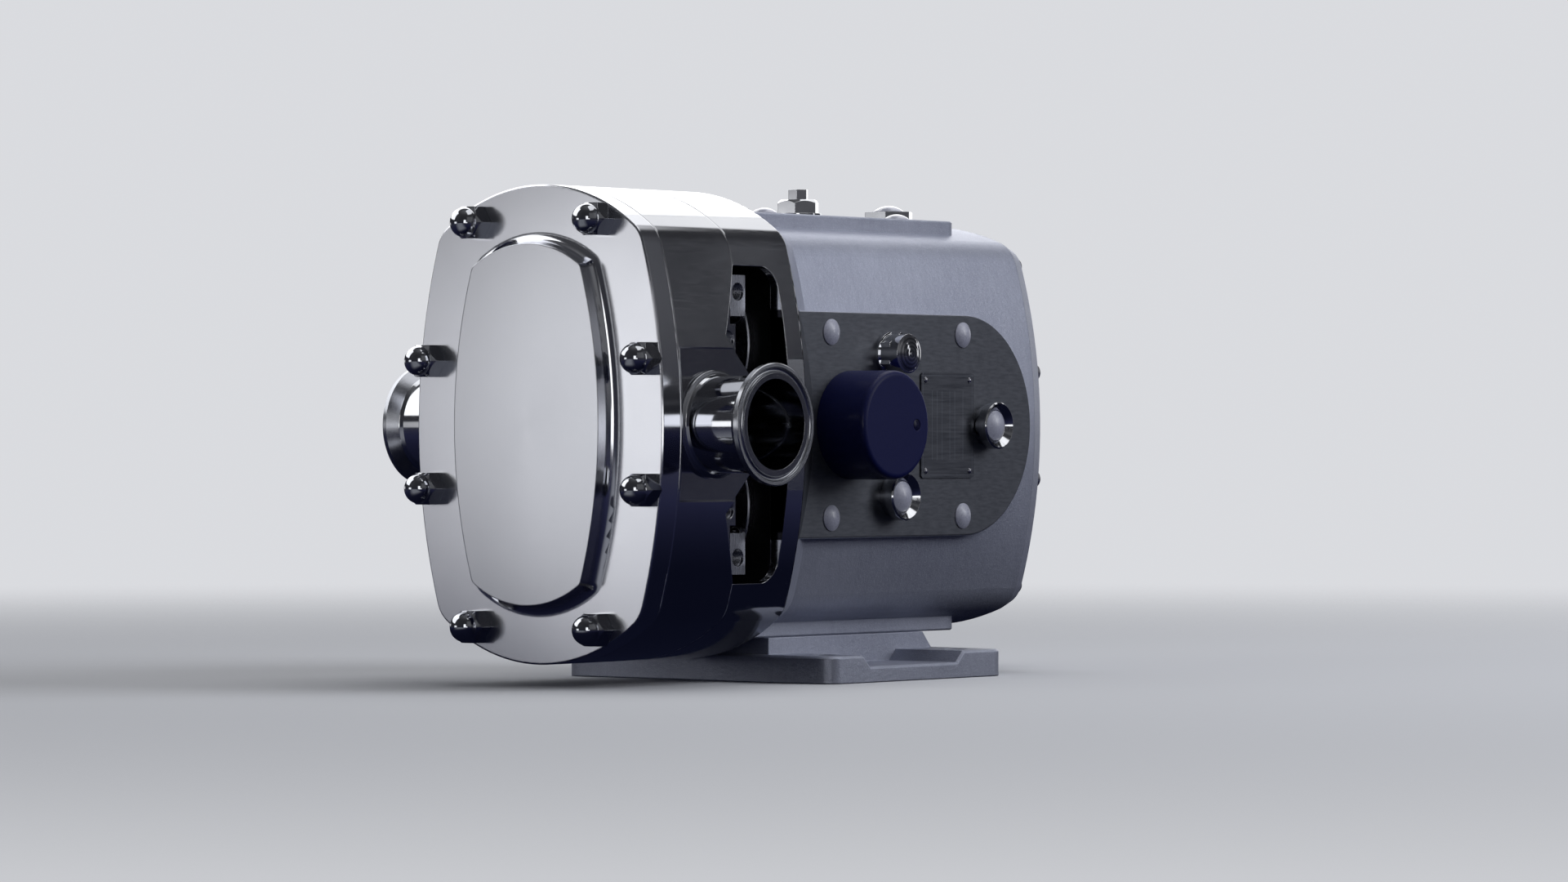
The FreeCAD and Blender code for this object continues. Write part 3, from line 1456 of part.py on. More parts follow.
def filler_plug():
    base = point(top_fitting_x, rear_fitting_station, end_pad_height)
    body = hexagon(filler_flats, filler_height, base, AXIS_Z)
    stem = Part.makeCylinder(oil_plug_stem / 2, oil_plug_stem_length, base, point(0, 0, -1))
    return body.fuse(stem)


def nameplate():
    half = nameplate_half_height
    plate_face = side_pad_face + nameplate_thickness
    plate = block(side_pad_face, plate_face, nameplate_front, nameplate_rear, -half, half)
    corners = [e for e in plate.Edges if e.BoundBox.XLength > nameplate_thickness * 0.9]
    return plate.makeFillet(nameplate_corner, corners)


def nameplate_rivets():
    rivets = []
    near = nameplate_front + nameplate_rivet_inset
    far = nameplate_rear - nameplate_rivet_inset
    height = nameplate_half_height - nameplate_rivet_inset
    for y in (near, far):
        for z in (height, -height):
            base = point(side_pad_face + nameplate_thickness, y, z)
            rivets.append(domed_disc(nameplate_rivet_diameter, nameplate_rivet_crown, nameplate_rivet_rim,
                                     base, AXIS_X))
    return compound(rivets)


# Condition monitor: round housing with a soft edge, and a small status light in its face
def monitor_housing():
    base = point(side_pad_face, monitor_station, 0)
    body = Part.makeCylinder(monitor_diameter / 2, monitor_height, base, AXIS_X)
    face_x = side_pad_face + monitor_height
    rim = [e for e in body.Edges if e.BoundBox.XMin > face_x - 0.01]
    body = body.makeFillet(monitor_edge, rim)
    light_seat = Part.makeCylinder(monitor_light_diameter / 2 + fit_clearance, monitor_light_depth + 1,
                                   point(face_x - monitor_light_depth, monitor_station + monitor_light_y, 0),
                                   AXIS_X)
    return body.cut(light_seat)


def monitor_light():
    face_x = side_pad_face + monitor_height
    base = point(face_x - monitor_light_depth, monitor_station + monitor_light_y, 0)
    return domed_disc(monitor_light_diameter, monitor_light_crown, monitor_light_rim, base, AXIS_X)


upper = shaft_height
lower = -shaft_height

pieces = {
    "front_cover": front_cover(),
    "cover_seal": cover_seal(),
    "dome_nuts": dome_nuts(),
    "cover_studs": cover_studs(),
    "rotor_case": rotor_case(),
    "port_right": port(1),
    "port_left": port(-1),
    "rotor_upper": rotor(upper),
    "rotor_lower": rotor(lower),
    "rotor_nut_upper": rotor_nut(upper),
    "rotor_nut_lower": rotor_nut(lower),
    "stationary_seal_rings": stationary_seal_rings(),
    "rotary_seal_ring_upper": rotary_seal_ring(upper),
    "rotary_seal_ring_lower": rotary_seal_ring(lower),
    "seal_spring_upper": seal_spring(upper),
    "seal_spring_lower": seal_spring(lower),
    "seal_collar_upper": seal_collar(upper),
    "seal_collar_lower": seal_collar(lower),
    "seal_housing_upper": seal_housing(1),
    "seal_housing_lower": seal_housing(-1),
    "seal_housing_screws": seal_housing_screws(),
    "window_ring": window_ring(),
    "ring_screws": ring_screws(),
    "bearing_retainer": bearing_retainer(),
    "retainer_screws": retainer_screws(),
    "front_lip_seals": front_lip_seals(),
    "slinger_upper": slinger(upper),
    "slinger_lower": slinger(lower),
    "front_bearing_outer_rings": front_bearing_outer_rings(),
    "front_bearing_inner_ring_upper": front_bearing_inner_ring(upper),
    "front_bearing_inner_ring_lower": front_bearing_inner_ring(lower),
    "rear_bearing_outer_rings": rear_bearing_outer_rings(),
    "rear_bearing_inner_ring_upper": rear_bearing_inner_ring(upper),
    "rear_bearing_inner_ring_lower": rear_bearing_inner_ring(lower),
    "gearcase": gearcase(),
    "drive_shaft": shaft(lower, True),
    "driven_shaft": shaft(upper, False),
    "drive_gear": timing_gear(lower),
    "driven_gear": timing_gear(upper),
    "drive_gear_key": gear_key(lower),
    "driven_gear_key": gear_key(upper),
    "drive_gear_nut": gear_nut(lower),
    "driven_gear_nut": gear_nut(upper),
    "rear_cover": rear_cover(),
    "rear_cover_screws": rear_cover_screws(),
    "rear_lip_seal": rear_lip_seal(),
    "drive_key": drive_key(),
    "foot": foot(),
    "foot_screws": foot_screws(),
    "pad_caps": pad_caps(),
    "sight_glass": sight_glass(),
    "oil_plugs": oil_plugs(),
    "plug_inserts": plug_inserts(),
    "nameplate": nameplate(),
    "nameplate_rivets": nameplate_rivets(),
    "monitor_housing": monitor_housing(),
    "monitor_light": monitor_light(),
    "breather": breather(),
    "filler_plug": filler_plug(),
}

os.makedirs("parts", exist_ok=True)
for name, shape in pieces.items():
    place(shape).exportStep(f"parts/{name}.step")
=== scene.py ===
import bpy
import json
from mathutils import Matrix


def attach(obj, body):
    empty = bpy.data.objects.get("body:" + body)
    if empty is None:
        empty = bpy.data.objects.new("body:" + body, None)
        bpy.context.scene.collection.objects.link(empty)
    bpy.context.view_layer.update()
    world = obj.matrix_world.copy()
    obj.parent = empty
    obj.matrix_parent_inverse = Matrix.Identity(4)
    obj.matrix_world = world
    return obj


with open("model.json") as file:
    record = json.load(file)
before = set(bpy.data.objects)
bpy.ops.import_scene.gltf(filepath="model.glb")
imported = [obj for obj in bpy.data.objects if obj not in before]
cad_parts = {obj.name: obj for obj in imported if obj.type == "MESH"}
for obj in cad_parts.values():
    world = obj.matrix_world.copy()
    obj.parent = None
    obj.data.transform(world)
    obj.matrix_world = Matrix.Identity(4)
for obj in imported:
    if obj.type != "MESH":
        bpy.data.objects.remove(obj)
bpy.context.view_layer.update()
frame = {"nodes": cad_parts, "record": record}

import json
import math

import bmesh
import bpy
from mathutils import Vector

# Places on the pump in metres: x to its right, y from the cover to the shaft end, z up from the floor
MM = 0.001
PORT_HEIGHT = 0.1383
PORT_Y = -0.16255
PORT_START = 0.0835
TUBE_RADIUS = 0.0268
COVER_FACE = -0.20825
PANEL_HEIGHT = 0.0103
WINDOW_END = -0.103
RING_REAR = -0.0885
SIDE_PAD_START = 0.0783
SIDE_PAD_FACE = 0.0786
SIDE_PAD_HALF = 0.0612

# Bare plate on the right side pad: middle, half sizes, border line and etched lines
PLATE_Y = 0.04405
PLATE_HALF_Y = 0.024
PLATE_HALF_Z = 0.029
BORDER_INSET = 1.6 * MM
BORDER_HALF_WIDTH = 0.12 * MM
RULE_STATIONS = (0.030, 0.0345, 0.039, 0.046, 0.0505, 0.058)
RULE_HALF_LENGTH = 0.019
RULE_HALF_WIDTH = 0.14 * MM

# Fittings on the side pads: station and rise over the port axis, and the dish that the plugs' faces seem to have
SIGHT_Y = -0.00885
SIGHT_RISE = 0.0388
PLUG_PLACES = ((SIGHT_Y, SIGHT_RISE), (-0.00525, -0.0388), (0.07975, 0.0))
DISH_START = 8.3 * MM
DISH_END = 12.2 * MM
DISH_LEAN = 0.17

# Sight glass: where its window starts in front of the pad, the window's radius, its rings in radians per metre,
# its curve per metre, and the outline of the dark target behind it as (radius, height) in millimetres
GLASS_START = 0.0143
GLASS_RADIUS = 0.0096
GLASS_RINGS = 2900.0
GLASS_RING_DEPTH = 0.014 * MM
GLASS_CURVE = 10.0
TARGET_OUTLINE = ((9.0, 10.6), (6.5, 10.2), (6.3, 9.2), (4.2, 9.0), (4.0, 7.6), (2.2, 7.4), (0.05, 7.4))

# Threads of the flush holes: mouth, (station, rise) of the holes, and (radius, share of the pitch) of a thread's ridge
THREAD_MOUTH = 0.0658
THREAD_PLACES = ((-0.13125, 0.045), (-0.1231, 0.0705))
THREAD_START = 0.5 * MM
THREAD_PITCH = 1.3 * MM
THREAD_TURNS = 8
THREAD_STEPS = 32
THREAD_RIDGE = ((4.80 * MM, -0.45), (4.05 * MM, 0.0), (4.80 * MM, 0.45))

# Ranges in which nearly all and the most common values of a noise lie, and how near a point counts as on a face
NOISE_RANGE = (0.3, 0.7)
NOISE_CORE = (0.35, 0.65)
COVER_TOLERANCE = 0.15 * MM
WINDOW_TOLERANCE = 0.3 * MM
FACING_FRONT = -0.9

# Turned or ground steels: slot, darker and lighter tone, lowest and highest roughness, depth of the marks, dished
TURNED_STEELS = (
    ("machined_steel", (0.25, 0.26, 0.30), (0.33, 0.34, 0.38), 0.24, 0.32, 0.002 * MM, False),
    ("fastener_steel", (0.46, 0.46, 0.50), (0.56, 0.56, 0.60), 0.18, 0.30, 0.008 * MM, False),
    ("fitting_steel", (0.50, 0.51, 0.54), (0.60, 0.61, 0.64), 0.06, 0.11, 0.003 * MM, True),
    ("bearing_steel", (0.44, 0.44, 0.47), (0.54, 0.54, 0.57), 0.14, 0.24, 0.008 * MM, False),
)

# What the polished steel reflects: tones by elevation, and soft boxes as (left, right, edge) and (low, high, edge)
# in degrees, azimuth from the back of the pump towards its right, and a strength
DEGREES = 180.0 / math.pi
DOME_RADIUS = 2.2
DOME_STEPS = 96
DOME_LOW = -5.0
DOME_HIGH = 90.0
DOME_BASE = (
    (-5.0, (0.030, 0.032, 0.056)), (0.0, (0.036, 0.037, 0.050)), (12.0, (0.045, 0.046, 0.053)),
    (25.0, (0.045, 0.046, 0.052)), (38.0, (0.045, 0.046, 0.051)), (55.0, (0.060, 0.061, 0.066)),
    (90.0, (0.180, 0.182, 0.190)),
)
DOME_BOXES = (
    ((-56.0, -23.0, 0.8), (0.5, 54.0, 1.0), 2.3),
    ((-138.0, -56.0, 0.8), (16.0, 54.0, 1.0), 2.3),
    ((-92.0, -76.0, 2.0), (-2.0, 4.0, 1.0), 1.2),
    ((135.0, 150.0, 2.0), (2.0, 18.0, 2.0), 2.4),
    ((124.0, 150.0, 1.0), (-3.5, 2.5, 0.8), 2.0),
    ((50.0, 57.0, 1.0), (-1.0, 24.0, 3.0), 1.6),
    ((-158.0, -140.0, 4.0), (-4.9, 5.6, 1.3), 1.85),
    ((-6.0, 3.0, 2.0), (-1.0, 13.0, 2.0), 1.3),
    ((-23.0, -6.0, 2.0), (-1.0, 46.0, 2.0), 1.3),
    ((74.0, 126.0, 6.0), (4.0, 40.0, 6.0), 0.12),
    ((-110.0, -84.0, 3.0), (40.0, 60.0, 4.0), 0.25),
    ((-23.0, 30.0, 4.0), (46.0, 88.0, 2.5), 1.5),
    ((30.0, 112.0, 4.0), (58.0, 88.0, 2.5), 1.5),
)

# Card under the pump that the steel reflects: tones near, further out and far, and a lighter sector in front
CARD_LEVEL = -0.0009
CARD_NEAR = (0.005, 0.006, 0.016)
CARD_MIDDLE = (0.024, 0.026, 0.062)
CARD_FAR = (0.060, 0.062, 0.085)
CARD_FRONT = (0.28, 0.29, 0.32)
NEAR_TO_MIDDLE = (0.20, 0.55)
MIDDLE_TO_FAR = (0.55, 1.8)
FRONT_SECTOR = (147.0, 172.0)
FRONT_START = (0.30, 0.45)

# Floor, lamps as (name, place, target, size, power, colour), world and camera
FLOOR_REACH = 6.0
FLOOR_LEVEL = -0.0003
FLOOR_COLOUR = (0.72, 0.73, 0.76)
FLOOR_FADE = (0.5, 2.2)
LAMPS = (
    ("top_softbox", (0.2, 0.5, 2.9), (0.0, 0.0, 0.15), 2.2, 27.0, (1.0, 1.0, 1.0)),
    ("key_softbox", (-1.1, -2.6, 1.8), (0.0, 0.0, 0.14), 1.8, 8.0, (0.96, 0.98, 1.0)),
    ("side_softbox", (2.15, 1.45, 1.4), (0.05, 0.0, 0.14), 1.7, 43.0, (0.93, 0.95, 1.0)),
)
SKY_COLOUR = (0.93, 0.95, 1.0)
SKY_STRENGTH = 0.16
SEEN_COLOUR = (0.70, 0.71, 0.74)
SEEN_STRENGTH = 1.0
CAMERA_PLACE = (2.0096, -2.52105, 0.1297)
CAMERA_AZIMUTH = 38.57
CAMERA_LENS = 133.68
CAMERA_SENSOR = 36.0
CAMERA_CLIP = 60.0


class Paint:
    """A material's node tree, with short calls for the nodes that the finishes share"""

    def __init__(self, name, colour, metallic, roughness):
        self.material = bpy.data.materials.new(name)
        self.material.use_nodes = True
        self.tree = self.material.node_tree
        self.tree.nodes.clear()
        output = self.add("ShaderNodeOutputMaterial")
        self.shader = self.add("ShaderNodeBsdfPrincipled")
        self.link(self.shader.outputs[0], output.inputs["Surface"])
        self.set("Base Color", (*colour, 1.0))
        self.set("Metallic", metallic)
        self.set("Roughness", roughness)
        coordinates = self.add("ShaderNodeTexCoord")
        self.place = coordinates.outputs["Object"]
        self.normal = coordinates.outputs["Normal"]

    def add(self, kind):
        return self.tree.nodes.new(kind)

    def link(self, start, end):
        self.tree.links.new(start, end)

    def set(self, socket, value):
        self.shader.inputs[socket].default_value = value

    def feed(self, value, socket):
        """Joins an output, or writes a number or a colour, to an input"""
        if hasattr(value, "is_linked"):
            self.link(value, socket)
        else:
            socket.default_value = value

    def stretched(self, scale):
        """Place in the object's own frame, multiplied along each axis"""
        node = self.add("ShaderNodeVectorMath")
        node.operation = "MULTIPLY"
        self.link(self.place, node.inputs[0])
        node.inputs[1].default_value = scale
        return node.outputs[0]

    def noise(self, scale, detail=3.0, rough=0.55, place=None):
        node = self.add("ShaderNodeTexNoise")
        self.link(place or self.place, node.inputs["Vector"])
        node.inputs["Scale"].default_value = scale
        node.inputs["Detail"].default_value = detail
        node.inputs["Roughness"].default_value = rough
        return node.outputs["Fac"]

    def axis(self, name, place=None):
        node = self.add("ShaderNodeSeparateXYZ")
        self.link(place or self.place, node.inputs[0])
        return node.outputs[name]

    def math(self, kind, a, b=0.0):
        node = self.add("ShaderNodeMath")
        node.operation = kind
        self.feed(a, node.inputs[0])
        self.feed(b, node.inputs[1])
        return node.outputs[0]

    def away(self, value, middle):
        """How far value is from middle, on either side"""
        return self.math("ABSOLUTE", self.math("SUBTRACT", value, middle))

    def product(self, first, *others):
        for other in others:
            first = self.math("MULTIPLY", first, other)
        return first

    def smallest(self, first, *others):
        for other in others:
            first = self.math("MINIMUM", first, other)
        return first

    def distance(self, a, b):
        """Length of the vector that has a and b at a right angle"""
        return self.math("SQRT", self.math("ADD", self.product(a, a), self.product(b, b)))

    def radius_across(self, y, z):
        """Distance from a line along x through y and z"""
        return self.distance(self.math("SUBTRACT", self.axis("Y"), y), self.math("SUBTRACT", self.axis("Z"), z))

    def span(self, value, low, high, start=0.0, end=1.0, smooth=False):
        """Carries value from low..high to start..end, held at both ends"""
        node = self.add("ShaderNodeMapRange")
        node.clamp = True
        node.interpolation_type = "SMOOTHSTEP" if smooth else "LINEAR"
        self.feed(value, node.inputs["Value"])
        for socket, number in (("From Min", low), ("From Max", high), ("To Min", start), ("To Max", end)):
            node.inputs[socket].default_value = number
        return node.outputs["Result"]

    def soft_ends(self, value, low, high, edge):
        """Two shares whose product is 1 between low and high and falls softly to 0 outside"""
        return (self.span(value, low - edge, low + edge, 0.0, 1.0, True),
                self.span(value, high - edge, high + edge, 1.0, 0.0, True))

    def blend(self, share, first, second):
        """Carries colours from first to second as share goes from 0 to 1"""
        node = self.add("ShaderNodeMix")
        node.data_type = "RGBA"
        self.feed(share, node.inputs["Factor"])
        for colour, socket in ((first, node.inputs["A"]), (second, node.inputs["B"])):
            if isinstance(colour, tuple):
                colour = (*colour, 1.0)
            self.feed(colour, socket)
        return node.outputs["Result"]

    def mix(self, share, first, second):
        """The same for plain numbers"""
        node = self.add("ShaderNodeMix")
        node.data_type = "FLOAT"
        self.feed(share, node.inputs["Factor"])
        self.feed(first, node.inputs["A"])
        self.feed(second, node.inputs["B"])
        return node.outputs["Result"]

    def colour(self, value):
        self.link(value, self.shader.inputs["Base Color"])

    def roughness(self, value):
        self.link(value, self.shader.inputs["Roughness"])

    def glow(self, value):
        self.link(value, self.shader.inputs["Emission Color"])
        self.set("Emission Strength", 1.0)

    def bump(self, height, depth, strength=1.0, edge=None):
        """Relief from height; edge is the radius that broken edges seem to have"""
        node = self.add("ShaderNodeBump")
        node.inputs["Distance"].default_value = depth
        node.inputs["Strength"].default_value = strength
        if edge is not None:
            rounding = self.add("ShaderNodeBevel")
            rounding.samples = 6
            self.feed(edge, rounding.inputs["Radius"])
            self.link(rounding.outputs[0], node.inputs["Normal"])
        self.feed(height, node.inputs["Height"])
        self.link(node.outputs[0], self.shader.inputs["Normal"])

    def radial_tangent(self, axis, amount):
        """Stretches highlights across turning marks that run round axis"""
        node = self.add("ShaderNodeTangent")
        node.direction_type = "RADIAL"
        node.axis = axis
        self.set("Anisotropic", amount)
        self.link(node.outputs[0], self.shader.inputs["Tangent"])


def cover_steel():
    """Satin on the two flat faces, with faint turning marks round the centre; walls and rim are polished"""
    p = Paint("cover_steel", (0.60, 0.61, 0.65), 1.0, 0.27)
    turned = p.add("ShaderNodeTexNoise")
    turned.noise_dimensions = "1D"
    p.link(p.distance(p.axis("X"), p.math("SUBTRACT", p.axis("Z"), PORT_HEIGHT)), turned.inputs["W"])
    turned.inputs["Scale"].default_value = 2600.0
    turned.inputs["Detail"].default_value = 2.0
    rings = turned.outputs["Fac"]
    grain = p.noise(2400.0, 2.0)
    to_face = p.away(p.axis("Y"), COVER_FACE)
    to_panel = p.away(p.axis("Y"), COVER_FACE - PANEL_HEIGHT)
    flat = p.math("LESS_THAN", p.smallest(to_face, to_panel), COVER_TOLERANCE)
    raised = p.math("LESS_THAN", to_panel, COVER_TOLERANCE)
    tone = p.blend(p.span(p.noise(14.0, 3.0), *NOISE_RANGE), (0.57, 0.58, 0.62), (0.62, 0.63, 0.67))
    p.colour(p.blend(p.product(raised, 0.7), tone, (0.42, 0.43, 0.46)))
    satin = p.math("ADD", p.span(rings, *NOISE_RANGE, 0.195, 0.21), p.span(grain, *NOISE_RANGE, 0.0, 0.03))
    p.roughness(p.mix(flat, 0.09, satin))
    height = p.math("ADD", p.product(rings, 0.35), p.product(grain, 0.8))
    p.bump(p.product(height, flat), 0.003 * MM, 0.5, 0.8 * MM)
    p.radial_tangent("Y", 0.35)
    return p.material


def polished_steel():
    """Mirror finish with faint marks and soft clouding; the ports' clamp rims are duller, and the rear face of the
    side windows is painted near black for the darkness in that recess"""
    p = Paint("polished_steel", (0.50, 0.51, 0.54), 1.0, 0.07)
    cloud = p.noise(9.0, 4.0)
    fine = p.noise(900.0, 2.0, place=p.stretched((1.0, 0.12, 1.0)))
    steel = p.blend(p.span(cloud, *NOISE_RANGE), (0.47, 0.48, 0.51), (0.54, 0.55, 0.58))
    outside = p.math("GREATER_THAN", p.math("ABSOLUTE", p.axis("X")), PORT_START)
    ferrule = p.product(outside, p.math("GREATER_THAN", p.radius_across(PORT_Y, PORT_HEIGHT), TUBE_RADIUS))
    steel = p.blend(ferrule, steel, (0.36, 0.37, 0.40))
    # Painted shade: the front-facing rear face of the side windows is painted near black
    painted_window_shade = p.product(p.math("LESS_THAN", p.away(p.axis("Y"), WINDOW_END), WINDOW_TOLERANCE),
                     p.math("LESS_THAN", p.away(p.axis("Z"), PORT_HEIGHT), SIDE_PAD_HALF),
                     p.math("LESS_THAN", p.axis("Y", p.normal), FACING_FRONT))
    p.colour(p.blend(painted_window_shade, steel, (0.02, 0.02, 0.024)))
    mirror = p.math("ADD", p.span(cloud, *NOISE_RANGE, 0.05, 0.09), p.span(fine, *NOISE_CORE, 0.0, 0.03))
    p.roughness(p.math("ADD", mirror, p.product(ferrule, 0.14)))
    p.bump(fine, 0.004 * MM, 0.3, p.mix(outside, 0.8 * MM, 0.25 * MM))
    return p.material


def nut_steel():
    """Dark polished nuts"""
    p = Paint("nut_steel", (0.40, 0.41, 0.44), 1.0, 0.08)
    cloud = p.noise(160.0, 3.0)
    p.roughness(p.span(cloud, *NOISE_RANGE, 0.05, 0.10))
    p.colour(p.blend(p.span(cloud, *NOISE_RANGE), (0.37, 0.38, 0.41), (0.44, 0.45, 0.48)))
    p.bump(cloud, 0.002 * MM, 0.2, 0.2 * MM)
    return p.material


def turned_steel(name, dark, light, low, high, depth, dished):
    """Turned or ground steel: fine rings along the shafts; dished plugs look a little deeper than they are"""
    p = Paint(name, light, 1.0, low)
    marks = p.noise(1500.0, 2.0, place=p.stretched((0.06, 1.0, 0.06)))
    p.colour(p.blend(p.span(p.noise(60.0, 3.0), *NOISE_RANGE), dark, light))
    p.roughness(p.span(marks, *NOISE_RANGE, low, high))
    if dished:
        radius = p.smallest(*[p.radius_across(y, PORT_HEIGHT + rise) for y, rise in PLUG_PLACES])
        cone = p.span(radius, DISH_START, DISH_END, 0.0, (DISH_END - DISH_START) * DISH_LEAN)
        p.bump(p.math("ADD", cone, p.product(marks, 0.4 * depth)), 1.0, 1.0, 0.4 * MM)
    else:
        p.bump(marks, depth, 0.4, 0.4 * MM)
    return p.material


def seal_carbon():
    """Black carbon with a faint speckle"""
    p = Paint("seal_carbon", (0.06, 0.06, 0.065), 0.0, 0.3)
    speck = p.noise(1800.0, 2.0)
    p.colour(p.blend(p.span(speck, *NOISE_CORE), (0.045, 0.045, 0.05), (0.08, 0.08, 0.086)))
    p.roughness(p.span(speck, *NOISE_RANGE, 0.24, 0.4))
    return p.material


def seal_rubber():
    """Matte black rubber"""
    p = Paint("seal_rubber", (0.03, 0.03, 0.032), 0.0, 0.6)
    speck = p.noise(1200.0, 3.0)
    p.colour(p.blend(p.span(speck, *NOISE_CORE), (0.022, 0.022, 0.024), (0.04, 0.04, 0.043)))
    p.roughness(p.span(speck, *NOISE_RANGE, 0.5, 0.72))
    p.bump(speck, 0.03 * MM, 0.5)
    return p.material


def cast_housing():
    """Blasted blue-grey casting with a metal sheen; the pads stand proud of it, machined smooth and darker, and
    what reaches into the window ring is painted near black for the darkness in that recess"""
    p = Paint("cast_housing", (0.34, 0.355, 0.42), 0.6, 0.42)
    grain = p.noise(1500.0, 3.0, 0.6)
    pits = p.noise(420.0, 4.0, 0.65)
    streaks = p.noise(260.0, 3.0, 0.6, p.stretched((1.0, 1.0, 0.22)))
    cloud = p.noise(11.0, 4.0)
    tone = p.math("ADD", p.product(cloud, 0.75), p.product(streaks, 0.25))
    cast = p.blend(p.span(tone, 0.36, 0.64), (0.290, 0.308, 0.385), (0.370, 0.390, 0.475))
    cast = p.blend(p.span(grain, 0.52, 0.68, 0.0, 0.50), cast, (0.52, 0.54, 0.62))
    on_side = p.product(p.math("LESS_THAN", p.away(p.axis("Z"), PORT_HEIGHT), SIDE_PAD_HALF),
                        p.math("GREATER_THAN", p.math("ABSOLUTE", p.axis("X")), SIDE_PAD_START))
    # Painted shade: the casting in front of the window ring's rear edge is painted near black
    painted_bay_shade = p.math("LESS_THAN", p.axis("Y"), RING_REAR)
    milling = p.noise(700.0, 2.0, place=p.stretched((1.0, 0.2, 1.0)))
    smooth = p.blend(p.span(milling, *NOISE_CORE), (0.080, 0.086, 0.102), (0.100, 0.106, 0.124))
    p.colour(p.blend(painted_bay_shade, p.blend(on_side, cast, smooth), (0.010, 0.010, 0.012)))
    p.roughness(p.mix(on_side, p.span(grain, *NOISE_RANGE, 0.36, 0.50), p.span(milling, *NOISE_RANGE, 0.38, 0.46)))
    height = p.math("ADD", pits, p.product(grain, 0.5))
    p.bump(p.mix(on_side, height, p.product(milling, 0.04)), 0.25 * MM, 0.8, 0.8 * MM)
    return p.material


def cap_plastic():
    """Pearly lilac-grey caps"""
    p = Paint("cap_plastic", (0.42, 0.43, 0.52), 0.0, 0.28)
    speck = p.noise(900.0, 2.0)
    p.colour(p.blend(p.span(speck, *NOISE_RANGE), (0.38, 0.39, 0.48), (0.46, 0.47, 0.56)))
    p.roughness(p.span(speck, *NOISE_RANGE, 0.26, 0.38))
    p.set("Coat Weight", 0.8)
    p.set("Coat Roughness", 0.08)
    return p.material


def clear_glass():
    """Bright body round a domed window that is half silvered, with light and dark rings painted on it as the
    reflections of a stepped reflector behind it, and a faint real relief of the same rings
    """
    p = Paint("clear_glass", (0.62, 0.63, 0.66), 1.0, 0.03)
    radius = p.radius_across(SIGHT_Y, PORT_HEIGHT + SIGHT_RISE)
    in_front = p.math("GREATER_THAN", p.axis("X"), SIDE_PAD_FACE + GLASS_START)
    window = p.product(in_front, p.math("LESS_THAN", radius, GLASS_RADIUS))
    rings = p.math("SINE", p.product(radius, GLASS_RINGS))
    # Painted reflection: light and dark rings stand in for a stepped reflector behind the window; the bump below gives
    # them a faint real relief
    ring_reflections = p.blend(p.span(rings, -0.6, 0.6), (0.30, 0.31, 0.34), (0.62, 0.63, 0.67))
    p.colour(p.blend(window, (0.62, 0.63, 0.66), ring_reflections))
    p.link(p.mix(window, 1.0, 0.8), p.shader.inputs["Metallic"])
    p.roughness(p.span(p.noise(300.0, 2.0), *NOISE_RANGE, 0.02, 0.05))
    p.set("Transmission Weight", 1.0)
    p.set("IOR", 1.5)
    lens = p.product(radius, radius, -GLASS_CURVE)
    relief = p.math("ADD", lens, p.product(rings, GLASS_RING_DEPTH))
    p.bump(p.product(window, relief), 1.0, 1.0, 0.4 * MM)
    return p.material


def plate_metal():
    """Dark brushed plate, bare, with a thin border line and plain etched lines"""
    p = Paint("plate_metal", (0.075, 0.080, 0.095), 0.7, 0.42)
    brush = p.noise(1100.0, 2.0, place=p.stretched((1.0, 0.05, 1.0)))
    y = p.axis("Y")
    rise = p.away(p.axis("Z"), PORT_HEIGHT)
    to_rule = p.smallest(*[p.away(y, station) for station in RULE_STATIONS])
    rules = p.product(p.math("LESS_THAN", rise, RULE_HALF_LENGTH), p.math("LESS_THAN", to_rule, RULE_HALF_WIDTH))
    to_side = p.away(p.away(y, PLATE_Y), PLATE_HALF_Y - BORDER_INSET)
    to_end = p.away(rise, PLATE_HALF_Z - BORDER_INSET)
    border = p.math("LESS_THAN", p.smallest(to_side, to_end), BORDER_HALF_WIDTH)
    etched = p.product(p.math("MAXIMUM", rules, border), 0.8)
    plain = p.blend(p.span(brush, *NOISE_RANGE), (0.052, 0.056, 0.070), (0.080, 0.085, 0.100))
    p.colour(p.blend(etched, plain, (0.14, 0.15, 0.18)))
    p.roughness(p.span(brush, *NOISE_RANGE, 0.36, 0.48))
    p.bump(brush, 0.01 * MM, 0.4)
    return p.material


def monitor_plastic():
    """Matte navy housing"""
    p = Paint("monitor_plastic", (0.005, 0.007, 0.042), 0.0, 0.45)
    p.set("Specular IOR Level", 0.12)
    speck = p.noise(1400.0, 3.0)
    p.colour(p.blend(p.span(speck, *NOISE_RANGE), (0.0042, 0.0064, 0.052), (0.0056, 0.0084, 0.066)))
    p.roughness(p.span(speck, *NOISE_RANGE, 0.38, 0.50))
    p.set("Coat Weight", 0.12)
    p.set("Coat Roughness", 0.12)
    p.bump(speck, 0.02 * MM, 0.4, 0.9 * MM)
    return p.material


def light_lens():
    """Small unlit lens, nearly black"""
    p = Paint("light_lens", (0.004, 0.005, 0.026), 0.0, 0.2)
    p.set("Specular IOR Level", 0.3)
    speck = p.noise(600.0, 2.0)
    p.roughness(p.span(speck, *NOISE_RANGE, 0.16, 0.26))
    p.colour(p.blend(p.span(speck, *NOISE_RANGE), (0.0035, 0.0045, 0.022), (0.005, 0.006, 0.032)))
    return p.material


